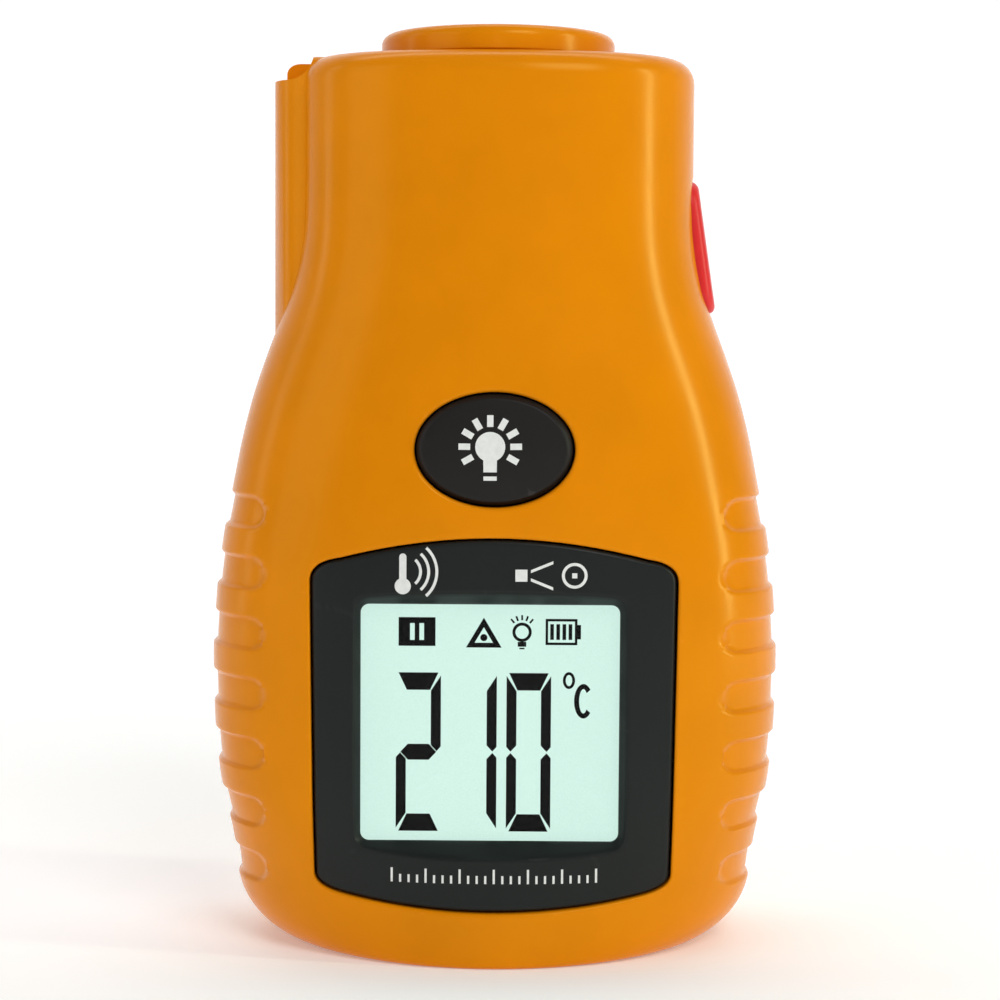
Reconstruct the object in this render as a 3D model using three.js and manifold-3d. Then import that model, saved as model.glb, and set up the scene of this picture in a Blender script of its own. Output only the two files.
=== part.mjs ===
// A pocket infrared thermometer as an assembly of separate pieces, in millimetres.
// +Z is up, towards the sensor; the display faces -Y; the origin is the centre of the base.
import * as THREE from "three";
import { mergeVertices } from "three/addons/utils/BufferGeometryUtils.js";
import Module from "manifold-3d";

const wasm = await Module();
wasm.setup();

// ---------------------------------------------------------------- driving dimensions

const BODY_HEIGHT = 107.5; // base to the flat top of the casing
const COLLAR_RISE = 3.1; // sensor collar above the casing
const WALL = 2;
const SEAM = 0.24; // parting line between the two shells, at y = 0
const GAP = 0.25; // clearance round buttons, bezel and door
const BACK = 19.8; // plane of the flat back
const LIP = { depth: 1, root: 0.9, reach: 1.1, play: 0.12 }; // behind the parting line
const TOP_ROUND = 2.8;
const BASE_ROUND = 0.75;

// The casing's section is a superellipse, flatter behind than in front, given at a few heights.
const CHIN = { height: 8, draw: 9 }; // the sides round in to the base by a quarter ellipse
const HALF_WIDTH = [[0, 31.2], [12, 32.2], [21, 33.9],
  [28, 34.5], [35, 34.65], [42, 34.3], [49, 33.5], [56, 32.2], [62, 31], [67, 29.7], [72, 28], [76, 26.5],
  [80, 25.2], [84, 24.4], [88, 24], [94, 23.9], [107.5, 23.9]];
const FRONT_DEPTH = [[0, 19.8], [52, 19.4], [66, 18.6], [80, 17.5], [90, 17.2], [107.5, 17.2]];
const REAR_DEPTH = [[0, 20.4], [8, 21], [62, 21], [72, 20], [84, 18], [92, 17.4], [107.5, 17.4]];
const FRONT_POWER = [[0, 2], [4, 2], [22, 2.6], [50, 2.6], [75, 2.4], [107.5, 2.35]];
const REAR_POWER = [[0, 2.4], [10, 3.4], [60, 3.4], [80, 2.8], [107.5, 2.5]];
const RING_POINTS = 32;
const RING_HEIGHTS = [0, 0.25, 0.75, 1.4, 2.5, 4.5, 8, 15, 25, 35, 45, 55, 63, 70, 76, 82, 89, 104.7, 106, 106.9, 107.5];

// Finger grips, in the sides of both shells: they start at frontX and reach this far back.
const GRIP = { count: 7, top: 53.1, pitch: 7.2, height: 4, depth: 0.48, frontX: 27.3, reach: 13.6, clear: 20 };

// A round column on the left of the neck holds the laser; its top front corner is scooped out.
const COLUMN = { x: -21.2, y: -0.5, r: 6, edge: 1.3, wall: 1.3, hollowTop: 103, foot: 66 };
const SCOOP = { x: -25.1, z: 107.8, r: 3, floor: 104.9, back: 3 };
const LASER = { x: -22.9, y: -1.3, r: 2.5, low: 84.5, top: 99.6, exit: 1.3 };

// Display panel in the front.
const PANEL = { halfTop: 21.4, halfBottom: 20.9, sideTop: 46.4, sideBottom: 10.6, arcTop: 50.5, arcBottom: 6.9 };
const PANEL_INSET = 0.3; // panel face behind the casing's surface
const SCREEN = { x: -0.4, z: 28.8, w: 30.4, h: 28 }; // what shows of the display
const SCREEN_SEAT = -16.8; // y of the seat that the clear window lies against
const BEVEL = 1.5;

// Controls.
const KEY = { z: 61, rx: 9.1, rz: 6.45, face: -19.35, flange: 1.25 };
const TRIGGER = { low: 77, high: 93.1, halfY: 4.5, corner: 3, faceX: 25.7, slope: 0.148,
  bottomRound: 1.4, crown: 20, post: -1.4 };

// Circuit board plane and the screws.
const BOARD = { front: -6, back: -4.4, halfW: 20.4, low: 8, shoulder: 64, top: 90, armFrom: 11, armTo: 17.3 };
const CASE_SCREWS = [[-26, 14], [26, 14], [-13.5, 98], [13.5, 98]];
const BOARD_SCREWS = [[-16.5, 56.5], [16.5, 56.5], [-14.2, 76], [14.2, 76]];
const SCREW_SEAT = 5; // y of the floor under a case screw's head

// Battery bay, opening backwards.
const BAY = { halfX: 11.6, front: 5.3, low: 8.5, high: 60.5, wall: 1.5 };
const DOOR = { halfX: 12.75, low: 7.75, high: 61.25, thick: 1.8, corner: 2.5 };
const CELL = { r: 5.25, length: 44.5, nubR: 1.9, nub: 1.1, x: 5.8, y: 11.6 };
const PLATE = 0.4; // thickness of a battery contact plate

// Infrared sensor, on the z axis.
const COLLAR = { r: 14.2, throat: 12.4, hole: 12.6, flange: 13.8, mouth: 11.4, bore: 9 };
const HOLDER = { r: 7.6, headR: 8.7, low: 86, head: 100, top: 104, bore: 5.6, ledge: 98, sight: 4.6 };

// ---------------------------------------------------------------- materials

const material = (color, roughness, metalness = 0, more = {}) =>
  new THREE.MeshStandardMaterial({ color, roughness, metalness, ...more });
const see_through = { transparent: true, opacity: 0.3 };
const ORANGE = material(0xe08a12, 0.45);
const PANEL_BLACK = material(0x2b2d2d, 0.4);
const RUBBER_BLACK = material(0x1c1e1e, 0.6);
const RED = material(0xd9261c, 0.4);
const CLEAR = material(0xf4f8f8, 0.05, 0, see_through);
const LCD = material(0xd6f5ea, 0.25);
const WHITE = material(0xeeeeea, 0.5);
const GREEN = material(0x1f5a34, 0.5);
const CHIP_BLACK = material(0x18181a, 0.5);
const SWITCH_GREY = material(0x4a4c50, 0.5);
const BRASS = material(0xb8903e, 0.35, 1);
const STEEL = material(0xb9bbbd, 0.3, 1);
const LENS_DARK = material(0x24262c, 0.12, 0.4);
const CELL_WRAP = material(0x2f6a9c, 0.35, 0.2);
const LABEL = material(0xd8dadb, 0.4);
const WIRE_RED = material(0xc02020, 0.5);
const WIRE_BLACK = material(0x202020, 0.5);
const FILM = material(0xb8743a, 0.4);

// ---------------------------------------------------------------- geometry helpers

// A smooth function of height through [height, value] stations, without overshoot.
function throughStations(stations) {
  const slope = (k) => (stations[k + 1][1] - stations[k][1]) / (stations[k + 1][0] - stations[k][0]);
  const last = stations.length - 1;
  const tangent = stations.map((_, k) => {
    if (k === 0 || k === last) return 0;
    const [before, after] = [slope(k - 1), slope(k)];
    return before * after <= 0 ? 0 : (2 * before * after) / (before + after);
  });
  return (z) => {
    let k = 0;
    while (k < last - 1 && z > stations[k + 1][0]) k++;
    const span = stations[k + 1][0] - stations[k][0];
    const t = THREE.MathUtils.clamp((z - stations[k][0]) / span, 0, 1);
    const rise = t * t * (3 - 2 * t);
    return stations[k][1] * (1 - rise) + stations[k + 1][1] * rise
      + span * (tangent[k] * t * (1 - t) ** 2 - tangent[k + 1] * t * t * (1 - t));
  };
}
const fullHalfWidth = throughStations(HALF_WIDTH);
const frontDepth = throughStations(FRONT_DEPTH);
const rearDepth = throughStations(REAR_DEPTH);
const frontPower = throughStations(FRONT_POWER);
const rearPower = throughStations(REAR_POWER);

function halfWidth(z) {
  const below = Math.min(Math.max(1 - z / CHIN.height, 0), 1);
  return fullHalfWidth(z) - CHIN.draw * (1 - Math.sqrt(1 - below ** 2));
}

// How far a rounded edge of this radius has drawn in, at a distance from the end face.
const roundInset = (radius, distance) =>
  distance >= radius ? 0 : radius - Math.sqrt(radius ** 2 - (radius - distance) ** 2);

// One level of the casing, drawn in by inset from the outer surface.
function casingRing(z, inset) {
  const edge = roundInset(Math.max(BASE_ROUND - inset, 0.4), z - inset)
    + roundInset(Math.max(TOP_ROUND - inset, 0.4), BODY_HEIGHT - inset - z);
  const ring = [];
  for (let i = 0; i < RING_POINTS; i++) {
    const angle = (2 * Math.PI * i) / RING_POINTS;
    const [c, s] = [Math.cos(angle), Math.sin(angle)];
    const power = 2 / (s < 0 ? frontPower(z) : rearPower(z));
    const depth = (s < 0 ? frontDepth(z) : rearDepth(z)) - inset - edge;
    const x = (halfWidth(z) - inset - edge) * Math.sign(c) * Math.abs(c) ** power;
    const y = depth * Math.sign(s) * Math.abs(s) ** power;
    ring.push(new THREE.Vector3(x, Math.min(y, BACK - inset - edge), z));
  }
  return ring;
}

// Joins rings of equal length, each turning anticlockwise about the way they are stacked.
function loft(rings) {
  const n = rings[0].length;
  const points = rings.flat();
  const faces = [];
  for (let k = 0; k + 1 < rings.length; k++) {
    for (let i = 0; i < n; i++) {
      const [a, b] = [k * n + i, k * n + ((i + 1) % n)];
      faces.push(a, b, b + n, a, b + n, a + n);
    }
  }
  const start = points.length - n;
  for (let i = 1; i + 1 < n; i++) {
    faces.push(0, i + 1, i, start, start + i, start + i + 1);
  }
  const geometry = new THREE.BufferGeometry().setFromPoints(points);
  geometry.setIndex(faces);
  return geometry;
}

// A closed three.js geometry as a solid for joining and cutting.
function solid(geometry) {
  const flat = geometry.index ? geometry.toNonIndexed() : geometry;
  const bare = new THREE.BufferGeometry().setAttribute("position", flat.getAttribute("position"));
  const merged = mergeVertices(bare, 1e-4);
  return new wasm.Manifold(new wasm.Mesh({
    numProp: 3,
    vertProperties: merged.attributes.position.array,
    triVerts: new Uint32Array(merged.index.array),
  }));
}

function geometryOf(made) {
  const { vertProperties, triVerts } = made.getMesh();
  const geometry = new THREE.BufferGeometry();
  geometry.setAttribute("position", new THREE.BufferAttribute(vertProperties, 3));
  geometry.setIndex(new THREE.BufferAttribute(triVerts, 1));
  geometry.computeVertexNormals();
  return geometry;
}

const joined = (first, ...rest) => rest.reduce((made, next) => made.add(next), first);
const cut = (first, ...rest) => rest.reduce((made, next) => made.subtract(next), first);

// A box between two corners.
function block(x0, x1, y0, y1, z0, z1) {
  const geometry = new THREE.BoxGeometry(x1 - x0, y1 - y0, z1 - z0);
  return solid(geometry.translate((x0 + x1) / 2, (y0 + y1) / 2, (z0 + z1) / 2));
}

// Round bars along each axis: two places on the other axes, then from and to.
function rodZ(x, y, r, z0, z1, sides = 24) {
  const geometry = new THREE.CylinderGeometry(r, r, z1 - z0, sides).rotateX(Math.PI / 2);
  return solid(geometry.translate(x, y, (z0 + z1) / 2));
}
function rodY(x, z, r, y0, y1, sides = 20) {
  const geometry = new THREE.CylinderGeometry(r, r, y1 - y0, sides);
  return solid(geometry.translate(x, (y0 + y1) / 2, z));
}
function rodX(y, z, r, x0, x1, sides = 20) {
  const geometry = new THREE.CylinderGeometry(r, r, x1 - x0, sides).rotateZ(Math.PI / 2);
  return solid(geometry.translate((x0 + x1) / 2, y, z));
}

// A turned piece about the z axis, from [radius, z] points that start and end at radius 0
// and run upwards on the outside.
function turned(profile, sides = 24) {
  const points = profile.map(([r, z]) => new THREE.Vector2(r, z));
  return solid(new THREE.LatheGeometry(points, sides).rotateX(Math.PI / 2));
}

// A rounded rectangle with its centre at u, v.
function roundedRect(u, v, w, h, r) {
  const [u0, u1, v0, v1] = [u - w / 2, u + w / 2, v - h / 2, v + h / 2];
  const shape = new THREE.Shape();
  shape.moveTo(u0 + r, v0);
  shape.lineTo(u1 - r, v0);
  shape.absarc(u1 - r, v0 + r, r, -Math.PI / 2, 0);
  shape.lineTo(u1, v1 - r);
  shape.absarc(u1 - r, v1 - r, r, 0, Math.PI / 2);
  shape.lineTo(u0 + r, v1);
  shape.absarc(u0 + r, v1 - r, r, Math.PI / 2, Math.PI);
  shape.lineTo(u0, v0 + r);
  shape.absarc(u0 + r, v0 + r, r, Math.PI, 1.5 * Math.PI);
  return shape;
}

// An x-z outline pushed from y0 to y1, and a y-z outline pushed from x0 to x1.
function prismY(shape, y0, y1, curveSegments = 6) {
  const geometry = new THREE.ExtrudeGeometry(shape, { depth: y1 - y0, bevelEnabled: false, curveSegments });
  return solid(geometry.rotateX(Math.PI / 2).translate(0, y1, 0));
}
function prismX(shape, x0, x1, curveSegments = 6) {
  const geometry = new THREE.ExtrudeGeometry(shape, { depth: x1 - x0, bevelEnabled: false, curveSegments });
  return solid(geometry.rotateX(Math.PI / 2).rotateZ(Math.PI / 2).translate(x0, 0, 0));
}

// A thin tube of this section along a smooth path.
function along(points, section, steps) {
  const path = new THREE.CatmullRomCurve3(points.map((p) => new THREE.Vector3(...p)));
  return solid(new THREE.ExtrudeGeometry(section, { steps, extrudePath: path, curveSegments: 2 }));
}
function roundSection(r) {
  return new THREE.Shape().absarc(0, 0, r, 0, 2 * Math.PI);
}

// ---------------------------------------------------------------- the casing as a whole

function casing(inset) {
  const top = BODY_HEIGHT - inset;
  const heights = RING_HEIGHTS.map((z) => THREE.MathUtils.clamp(z, inset, top))
    .filter((z, i, all) => i === 0 || z - all[i - 1] > 0.05);
  return solid(loft(heights.map((z) => casingRing(z, inset))));
}

// The laser column, solid outside and hollow inside, with a rounded top edge.
function neckColumn(r, top) {
  const edge = COLUMN.edge;
  const profile = [[0, COLUMN.foot], [r, COLUMN.foot]];
  for (let k = 0; k <= 3; k++) {
    const angle = (k / 3) * (Math.PI / 2);
    profile.push([r - edge + edge * Math.cos(angle), top - edge + edge * Math.sin(angle)]);
  }
  profile.push([0, top]);
  return turned(profile).translate([COLUMN.x, COLUMN.y, 0]);
}

const plainCasing = casing(0);
const farBox = 60;
const scoop = block(-farBox, SCOOP.x, -farBox, SCOOP.back, SCOOP.floor, BODY_HEIGHT + 1)
  .add(rodY(SCOOP.x, SCOOP.z, SCOOP.r, -farBox, SCOOP.back, 32));
const outside = plainCasing.add(neckColumn(COLUMN.r, BODY_HEIGHT)).subtract(scoop);
const inside = casing(WALL).add(neckColumn(COLUMN.r - COLUMN.wall, COLUMN.hollowTop));
const frontHalf = block(-farBox, farBox, -farBox, -SEAM / 2, -1, BODY_HEIGHT + 1);
const rearHalf = block(-farBox, farBox, SEAM / 2, farBox, -1, BODY_HEIGHT + 1);

// A band across the parting line, set in from the outside. Hollowed, it is the lip of the front
// shell that closes the gap; grown by some play, it cuts the rebate for that lip in the rear shell.
function seamBand(play) {
  const halfWall = COLUMN.wall / 2;
  return casing(LIP.depth - play)
    .add(neckColumn(COLUMN.r - halfWall + play, COLUMN.hollowTop + halfWall + play))
    .intersect(block(-farBox, farBox, -LIP.root, LIP.reach + play, 0, BODY_HEIGHT));
}

// The display panel's outline, grown by a margin: straight sides, arched top and bottom.
function panelOutline(margin) {
  const { halfTop, halfBottom, sideTop, sideBottom, arcTop, arcBottom } = PANEL;
  const [wt, wb] = [halfTop + margin, halfBottom + margin];
  const corner = 3.4;
  const shape = new THREE.Shape();
  shape.moveTo(wb, sideBottom);
  shape.lineTo(wt, sideTop - 1);
  shape.quadraticCurveTo(wt, sideTop + 1.1 + margin, wt - corner, sideTop + 1.6 + margin);
  shape.quadraticCurveTo(wt / 2.4, arcTop + margin, 0, arcTop + margin);
  shape.quadraticCurveTo(-wt / 2.4, arcTop + margin, corner - wt, sideTop + 1.6 + margin);
  shape.quadraticCurveTo(-wt, sideTop + 1.1 + margin, -wt, sideTop - 1);
  shape.lineTo(-wb, sideBottom);
  shape.quadraticCurveTo(-wb, sideBottom - 1.5 - margin, corner - wb, sideBottom - 2.1 - margin);
  shape.quadraticCurveTo(-wb / 2.4, arcBottom - margin, 0, arcBottom - margin);
  shape.quadraticCurveTo(wb / 2.4, arcBottom - margin, wb - corner, sideBottom - 2.1 - margin);
  shape.quadraticCurveTo(wb, sideBottom - 1.5 - margin, wb, sideBottom);
  return shape;
}

// An ellipse about the backlight key's centre, grown by a margin, in x and z.
function keyEllipse(margin) {
  return new THREE.Shape().absellipse(0, KEY.z, KEY.rx + margin, KEY.rz + margin, 0, 2 * Math.PI);
}

// The trigger's outline seen from the side, grown by a margin, in y and z.
function triggerOutline(margin) {
  const { low, high, halfY, corner } = TRIGGER;
  const middle = (low + high) / 2;
  return roundedRect(0, middle, 2 * (halfY + margin), high - low + 2 * margin, corner + margin);
}

// What is taken out of the sides for the finger grips.
function gripPockets() {
  const skin = casing(-1).subtract(casing(GRIP.depth));
  const radius = GRIP.height / 2 - 0.05;
  const bars = [];
  for (let k = 0; k < GRIP.count; k++) {
    const z = GRIP.top - k * GRIP.pitch;
    const fromSide = roundedRect(0, z, 2 * GRIP.reach, GRIP.height, radius);
    const across = prismX(fromSide, -farBox, farBox, 2).intersect(rearHalf);
    bars.push(across.subtract(block(-GRIP.clear, GRIP.clear, 0, farBox, 0, BODY_HEIGHT)));
    for (const side of [-1, 1]) {
      const fromFront = roundedRect(side * (GRIP.frontX + farBox / 2), z, farBox, GRIP.height, radius);
      bars.push(prismY(fromFront, -farBox, 1, 2));
    }
  }
  return skin.intersect(joined(...bars));
}

// Cuts that go through both shells.
const throughCuts = [
  gripPockets(),
  rodZ(0, 0, COLLAR.hole, BODY_HEIGHT - WALL - 1, BODY_HEIGHT + 1, 36),
  rodZ(LASER.x, LASER.y, LASER.exit, COLUMN.hollowTop - 1, BODY_HEIGHT, 16),
  prismX(triggerOutline(GAP), 18, 32),
];

// ---------------------------------------------------------------- shells

function frontShell() {
  const posts = [
    ...CASE_SCREWS.map(([x, z]) => rodY(x, z, 2.8, -18.5, -0.3, 16)),
    ...BOARD_SCREWS.map(([x, z]) => rodY(x, z, 2, -18.5, BOARD.front - 0.15, 14)),
  ];
  const bores = [
    ...CASE_SCREWS.map(([x, z]) => rodY(x, z, 1.25, -12, 1, 12)),
    ...BOARD_SCREWS.map(([x, z]) => rodY(x, z, 0.9, -12.5, 1, 10)),
  ];
  const walls = outside.intersect(frontHalf).add(seamBand(0)).subtract(inside);
  const filled = walls.add(joined(...posts).intersect(casing(WALL / 2)));
  return cut(filled, ...throughCuts, ...bores,
    prismY(panelOutline(GAP), -25, -10),
    prismY(keyEllipse(GAP), -25, -12, 12));
}

function rearShell() {
  const { halfX, front, low, high, wall } = BAY;
  const tubes = CASE_SCREWS.map(([x, z]) => rodY(x, z, 3.7, 0.3, 25, 18));
  const bayBox = block(-halfX - wall, halfX + wall, front - wall, 25, low - wall, high + wall);
  const walls = cut(outside.intersect(rearHalf), inside, seamBand(LIP.play));
  const filled = walls.add(joined(bayBox, ...tubes).intersect(casing(0.02)));
  const heads = CASE_SCREWS.map(([x, z]) => rodY(x, z, 2.7, SCREW_SEAT, 25, 18));
  const shanks = CASE_SCREWS.map(([x, z]) => rodY(x, z, 1.4, 0, SCREW_SEAT + 1, 12));
  const doorway = roundedRect(0, (DOOR.low + DOOR.high) / 2,
    2 * (DOOR.halfX + GAP), DOOR.high - DOOR.low + 2 * GAP, DOOR.corner + GAP);
  const nailNotch = new THREE.Shape().absellipse(0, DOOR.high + 1, 6, 4.2, 0, 2 * Math.PI);
  return cut(filled, ...throughCuts, ...heads, ...shanks,
    block(-halfX, halfX, front, 25, low, high),
    block(-halfX, halfX, BACK - 4.6, BACK - DOOR.thick - 0.2, low - 4, low + 1),
    prismY(doorway, BACK - DOOR.thick - 0.2, 25),
    prismY(nailNotch, BACK - 0.9, 25, 8));
}

function sensorCollar() {
  const top = BODY_HEIGHT + COLLAR_RISE;
  const [lipLow, throatLow, foot] = [BODY_HEIGHT + 0.1, BODY_HEIGHT - WALL - 0.3, BODY_HEIGHT - 4.4];
  const { r, throat, flange, mouth, bore } = COLLAR;
  const outer = [[0, foot], [flange, foot], [flange, throatLow], [throat, throatLow], [throat, lipLow],
    [r, lipLow], [r, top - 1.3], [r - 0.4, top - 0.4], [r - 1.3, top], [0, top]];
  const hollow = [[0, foot - 1], [bore, foot - 1], [bore, foot + 1.8], [mouth - 0.5, top - 0.6],
    [mouth + 0.3, top + 0.05], [mouth + 0.3, top + 1], [0, top + 1]];
  return turned(outer, 36).subtract(turned(hollow, 36));
}

// ---------------------------------------------------------------- display

// A straight-walled block with rounded corners, flaring by BEVEL from the seat to the front.
function screenOpening() {
  const ring = (margin, y) => roundedRect(SCREEN.x, SCREEN.z,
    SCREEN.w + 2 * margin, SCREEN.h + 2 * margin, 1 + margin / 2).getPoints(3)
    .slice(0, -1).map((p) => new THREE.Vector3(p.x, y, p.y));
  const flare = 2.3;
  const overrun = 1.2;
  const levels = [[0, SCREEN_SEAT + 3], [0, SCREEN_SEAT - 0.2], [BEVEL, SCREEN_SEAT - flare],
    [BEVEL * (1 + overrun / flare), SCREEN_SEAT - flare - overrun]];
  return solid(loft(levels.map(([margin, y]) => ring(margin, y))));
}

function displayBezel() {
  const layer = (from, to) => casing(from).subtract(casing(to));
  const face = layer(PANEL_INSET, 3.2).intersect(prismY(panelOutline(0), -25, -9));
  const flange = layer(WALL + 0.3, 3.2).intersect(prismY(panelOutline(1.2), -25, -9));
  return cut(face.add(flange), screenOpening(),
    block(SCREEN.x - 17.1, SCREEN.x + 17.1, SCREEN_SEAT, 0, 12.7, 45.1),
    block(-20, 20, SCREEN_SEAT + 1.1, 0, 10.3, 47.7));
}

function lcdHolder() {
  const ring = block(-19.5, 19.5, SCREEN_SEAT + 1.4, BOARD.front - 0.15, 10.8, 47.2);
  const slot = [SCREEN_SEAT + 3.4, SCREEN_SEAT + 6.6];
  const ledSlots = [-1, 1].map((side) => block(side * 17.1 - 1.3, side * 17.1 + 1.3, ...slot, 28, 32));
  return cut(ring,
    block(-17.9, 17.9, SCREEN_SEAT, SCREEN_SEAT + 3.5, 12, 46),
    block(-16, 16, SCREEN_SEAT, -5, 12.3, 44.4), ...ledSlots);
}

// ---------------------------------------------------------------- controls

function backlightButton() {
  const { z, rx, rz, face, flange } = KEY;
  const reach = -face;
  const dome = [[0, 15.4], [rz, 15.4], [rz, reach - 1.5], [rz - 0.3, reach - 0.75],
    [rz - 1, reach - 0.4], [rz / 2, reach - 0.1], [0, reach]];
  const cap = turned(dome, 32).rotate([90, 0, 0]).scale([rx / rz, 1, 1]).translate([0, 0, z]);
  return joined(cap, prismY(keyEllipse(flange), -15.5, -14.5, 12), rodY(0, z, 2, -15, -11.1, 16));
}

function triggerButton() {
  const { low, high, slope, faceX, bottomRound, crown } = TRIGGER;
  const middle = (low + high) / 2;
  const face = (z) => faceX + (middle - z) * slope; // leans out towards the shoulder
  const side = new THREE.Shape();
  side.moveTo(19.4, low - 1);
  side.lineTo(face(low) - 1.3, low - 1);
  side.lineTo(face(low) - 0.9, low);
  side.quadraticCurveTo(face(low), low + 0.3, face(low + bottomRound), low + bottomRound);
  side.lineTo(face(high - 2), high - 2);
  side.quadraticCurveTo(face(high) - 0.1, high - 0.3, face(high) - 1.2, high);
  side.lineTo(face(high) - 1.6, high + 1);
  side.lineTo(19.4, high + 1);
  const profile = prismY(side, -6, 6, 4);
  const cushion = solid(new THREE.CylinderGeometry(crown, crown, 30, 64).rotateX(Math.PI / 2)
    .translate(-crown, 0, 0).rotateY(-Math.atan(slope)).translate(faceX + 0.01, 0, middle));
  const cap = prismX(triggerOutline(0), 19.4, 30).intersect(profile).intersect(cushion);
  return joined(cap, prismX(triggerOutline(1.1), 19.4, 20.4));
}

// A tact switch body with the pocket that its plunger slides in.
const backlightSwitch = () => block(-3, 3, -9.5, BOARD.front - 0.05, KEY.z - 3, KEY.z + 3)
  .subtract(rodY(0, KEY.z, 1.85, -12, -7, 20));
const backlightPlunger = () => rodY(0, KEY.z, 1.65, -11, -8, 20);
const triggerZ = (TRIGGER.low + TRIGGER.high) / 2;
const triggerSwitch = () => block(11.5, 17.5, BOARD.back + 0.05, BOARD.back + 6.05, triggerZ - 3, triggerZ + 3)
  .subtract(rodX(TRIGGER.post, triggerZ, 1.85, 12.8, 18, 20));
const triggerPlunger = () => rodX(TRIGGER.post, triggerZ, 1.65, 14.6, 19.3, 20);

// ---------------------------------------------------------------- circuit board

function mainBoard() {
  const { front, back, halfW, low, shoulder, top, armFrom, armTo } = BOARD;
  const leftTop = top - 8;
  const outline = new THREE.Shape([[-halfW, low], [halfW, low], [halfW, shoulder + 6],
    [armTo, shoulder + 9], [armTo, top], [armFrom, top], [armFrom, shoulder + 3], [armFrom - 3, shoulder],
    [3 - armFrom, shoulder], [-armFrom, shoulder + 3], [-armFrom, leftTop], [-armTo, leftTop],
    [-armTo, shoulder + 9], [-halfW, shoulder + 6]].map(([x, z]) => new THREE.Vector2(x, z)));
  return cut(prismY(outline, front, back),
    ...BOARD_SCREWS.map(([x, z]) => rodY(x, z, 1.15, front - 1, back + 1, 14)));
}

// ---------------------------------------------------------------- sensor and laser

function lensHolder() {
  const { r, headR, low, head, top, bore, ledge, sight } = HOLDER;
  const outer = [[0, low], [r, low], [r, head - 1.1], [headR, head], [headR, top - 0.3], [headR - 0.3, top], [0, top]];
  const hollow = [[0, low - 1], [6.4, low - 1], [6.4, low + 5.5], [sight, low + 7.5], [sight, ledge],
    [bore, ledge], [bore, top - 1.4], [bore + 1, top + 1], [0, top + 1]];
  return turned(outer).subtract(turned(hollow));
}

function irLens() {
  const { bore, ledge } = HOLDER;
  const profile = [[0, ledge + 0.1], [bore - 0.15, ledge + 0.1], [bore - 0.15, ledge + 1],
    [4, ledge + 1.65], [2.2, ledge + 2.1], [0, ledge + 2.25]];
  return turned(profile);
}

function lensRing() {
  const { bore, ledge } = HOLDER;
  const outer = [[0, ledge + 2.5], [bore - 0.12, ledge + 2.5], [bore - 0.12, ledge + 4.2], [0, ledge + 4.2]];
  return turned(outer).subtract(rodZ(0, 0, 4.5, ledge, ledge + 6));
}

function thermopile() {
  const can = [[0, 86.3], [4.6, 86.3], [4.6, 86.9], [4.1, 87], [4.1, 90], [3.8, 90.3], [0, 90.3]];
  return turned(can, 20);
}

function laserBarrel() {
  const { x, y, r, low, top } = LASER;
  const waist = r - 0.35;
  const barrel = [[0, low], [waist, low], [r, low + 0.4], [r, low + 3.4], [waist, low + 3.5], [waist, low + 8.5],
    [r, low + 8.6], [r, top - 0.3], [r - 0.3, top], [0, top]];
  return turned(barrel, 16).subtract(rodZ(0, 0, 1.5, top - 1.2, top + 1, 16)).translate([x, y, 0]);
}

const laserSleeve = () => rodZ(LASER.x, LASER.y, LASER.r + 0.15, LASER.low + 3.8, LASER.low + 8.2, 24)
  .subtract(rodZ(LASER.x, LASER.y, LASER.r - 0.25, LASER.low, LASER.low + 10, 24));

// ---------------------------------------------------------------- battery bay

// A cell standing on z = low, its button end up or down.
function cell(x, low, up) {
  const { r, length, nubR, nub, y } = CELL;
  const body = [[0, 0], [r - 0.5, 0], [r, 0.4], [r, length - nub - 0.5], [r - 0.6, length - nub],
    [nubR, length - nub], [nubR, length - 0.2], [nubR - 0.2, length], [0, length]];
  const made = turned(body, 20);
  return (up ? made : made.rotate([180, 0, 0]).translate([0, 0, length])).translate([x, y, low]);
}

// A conical coil between two heights, narrow end at `narrow`.
function coil(x, wide, narrow) {
  const [turns, wire, perTurn] = [4, 0.35, 7];
  const points = [];
  for (let i = 0; i <= turns * perTurn; i++) {
    const share = i / (turns * perTurn);
    const radius = 3.7 - 1.3 * share;
    const angle = share * turns * 2 * Math.PI;
    points.push([x + radius * Math.cos(angle), CELL.y + radius * Math.sin(angle), wide + (narrow - wide) * share]);
  }
  return along(points, roundSection(wire), turns * perTurn + 8);
}

function batteryDoor() {
  const { halfX, low, high, thick, corner } = DOOR;
  const back = BACK;
  const inner = back - thick;
  const panel = prismY(roundedRect(0, (low + high) / 2, 2 * halfX, high - low, corner), inner, back);
  const [tabFront, tabBack] = [inner - 1.7, inner - 0.4];
  const tabs = [-9.4, 9.4].map((x) => block(x - 1.5, x + 1.5, tabFront, tabBack, low - 2.1, low + 2.6));
  const roots = [-9.4, 9.4].map((x) => block(x - 1.5, x + 1.5, tabFront, inner + 0.5, low + 0.6, low + 2.6));
  const catchPad = block(-3.5, 3.5, inner - 1.1, inner + 0.5, high - 2.6, high - 1.1);
  const ridges = [0, 1, 2, 3].map((k) => block(-6, 6, back - 0.35, back + 1, high - 6 - 1.8 * k, high - 5.2 - 1.8 * k));
  const labelBed = block(-9.65, 9.65, back - 0.3, back + 1, 16.35, 39.65);
  return cut(joined(panel, ...tabs, ...roots, catchPad), ...ridges, labelBed);
}

// ---------------------------------------------------------------- fasteners and leads

function caseScrew([x, z]) {
  const driver = block(x - 1.4, x + 1.4, SCREW_SEAT + 1.2, SCREW_SEAT + 3, z - 0.3, z + 0.3)
    .add(block(x - 0.3, x + 0.3, SCREW_SEAT + 1.2, SCREW_SEAT + 3, z - 1.4, z + 1.4));
  return rodY(x, z, 1.1, -8, SCREW_SEAT + 0.5, 12)
    .add(rodY(x, z, 2.35, SCREW_SEAT + 0.1, SCREW_SEAT + 1.9, 18)).subtract(driver);
}

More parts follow.
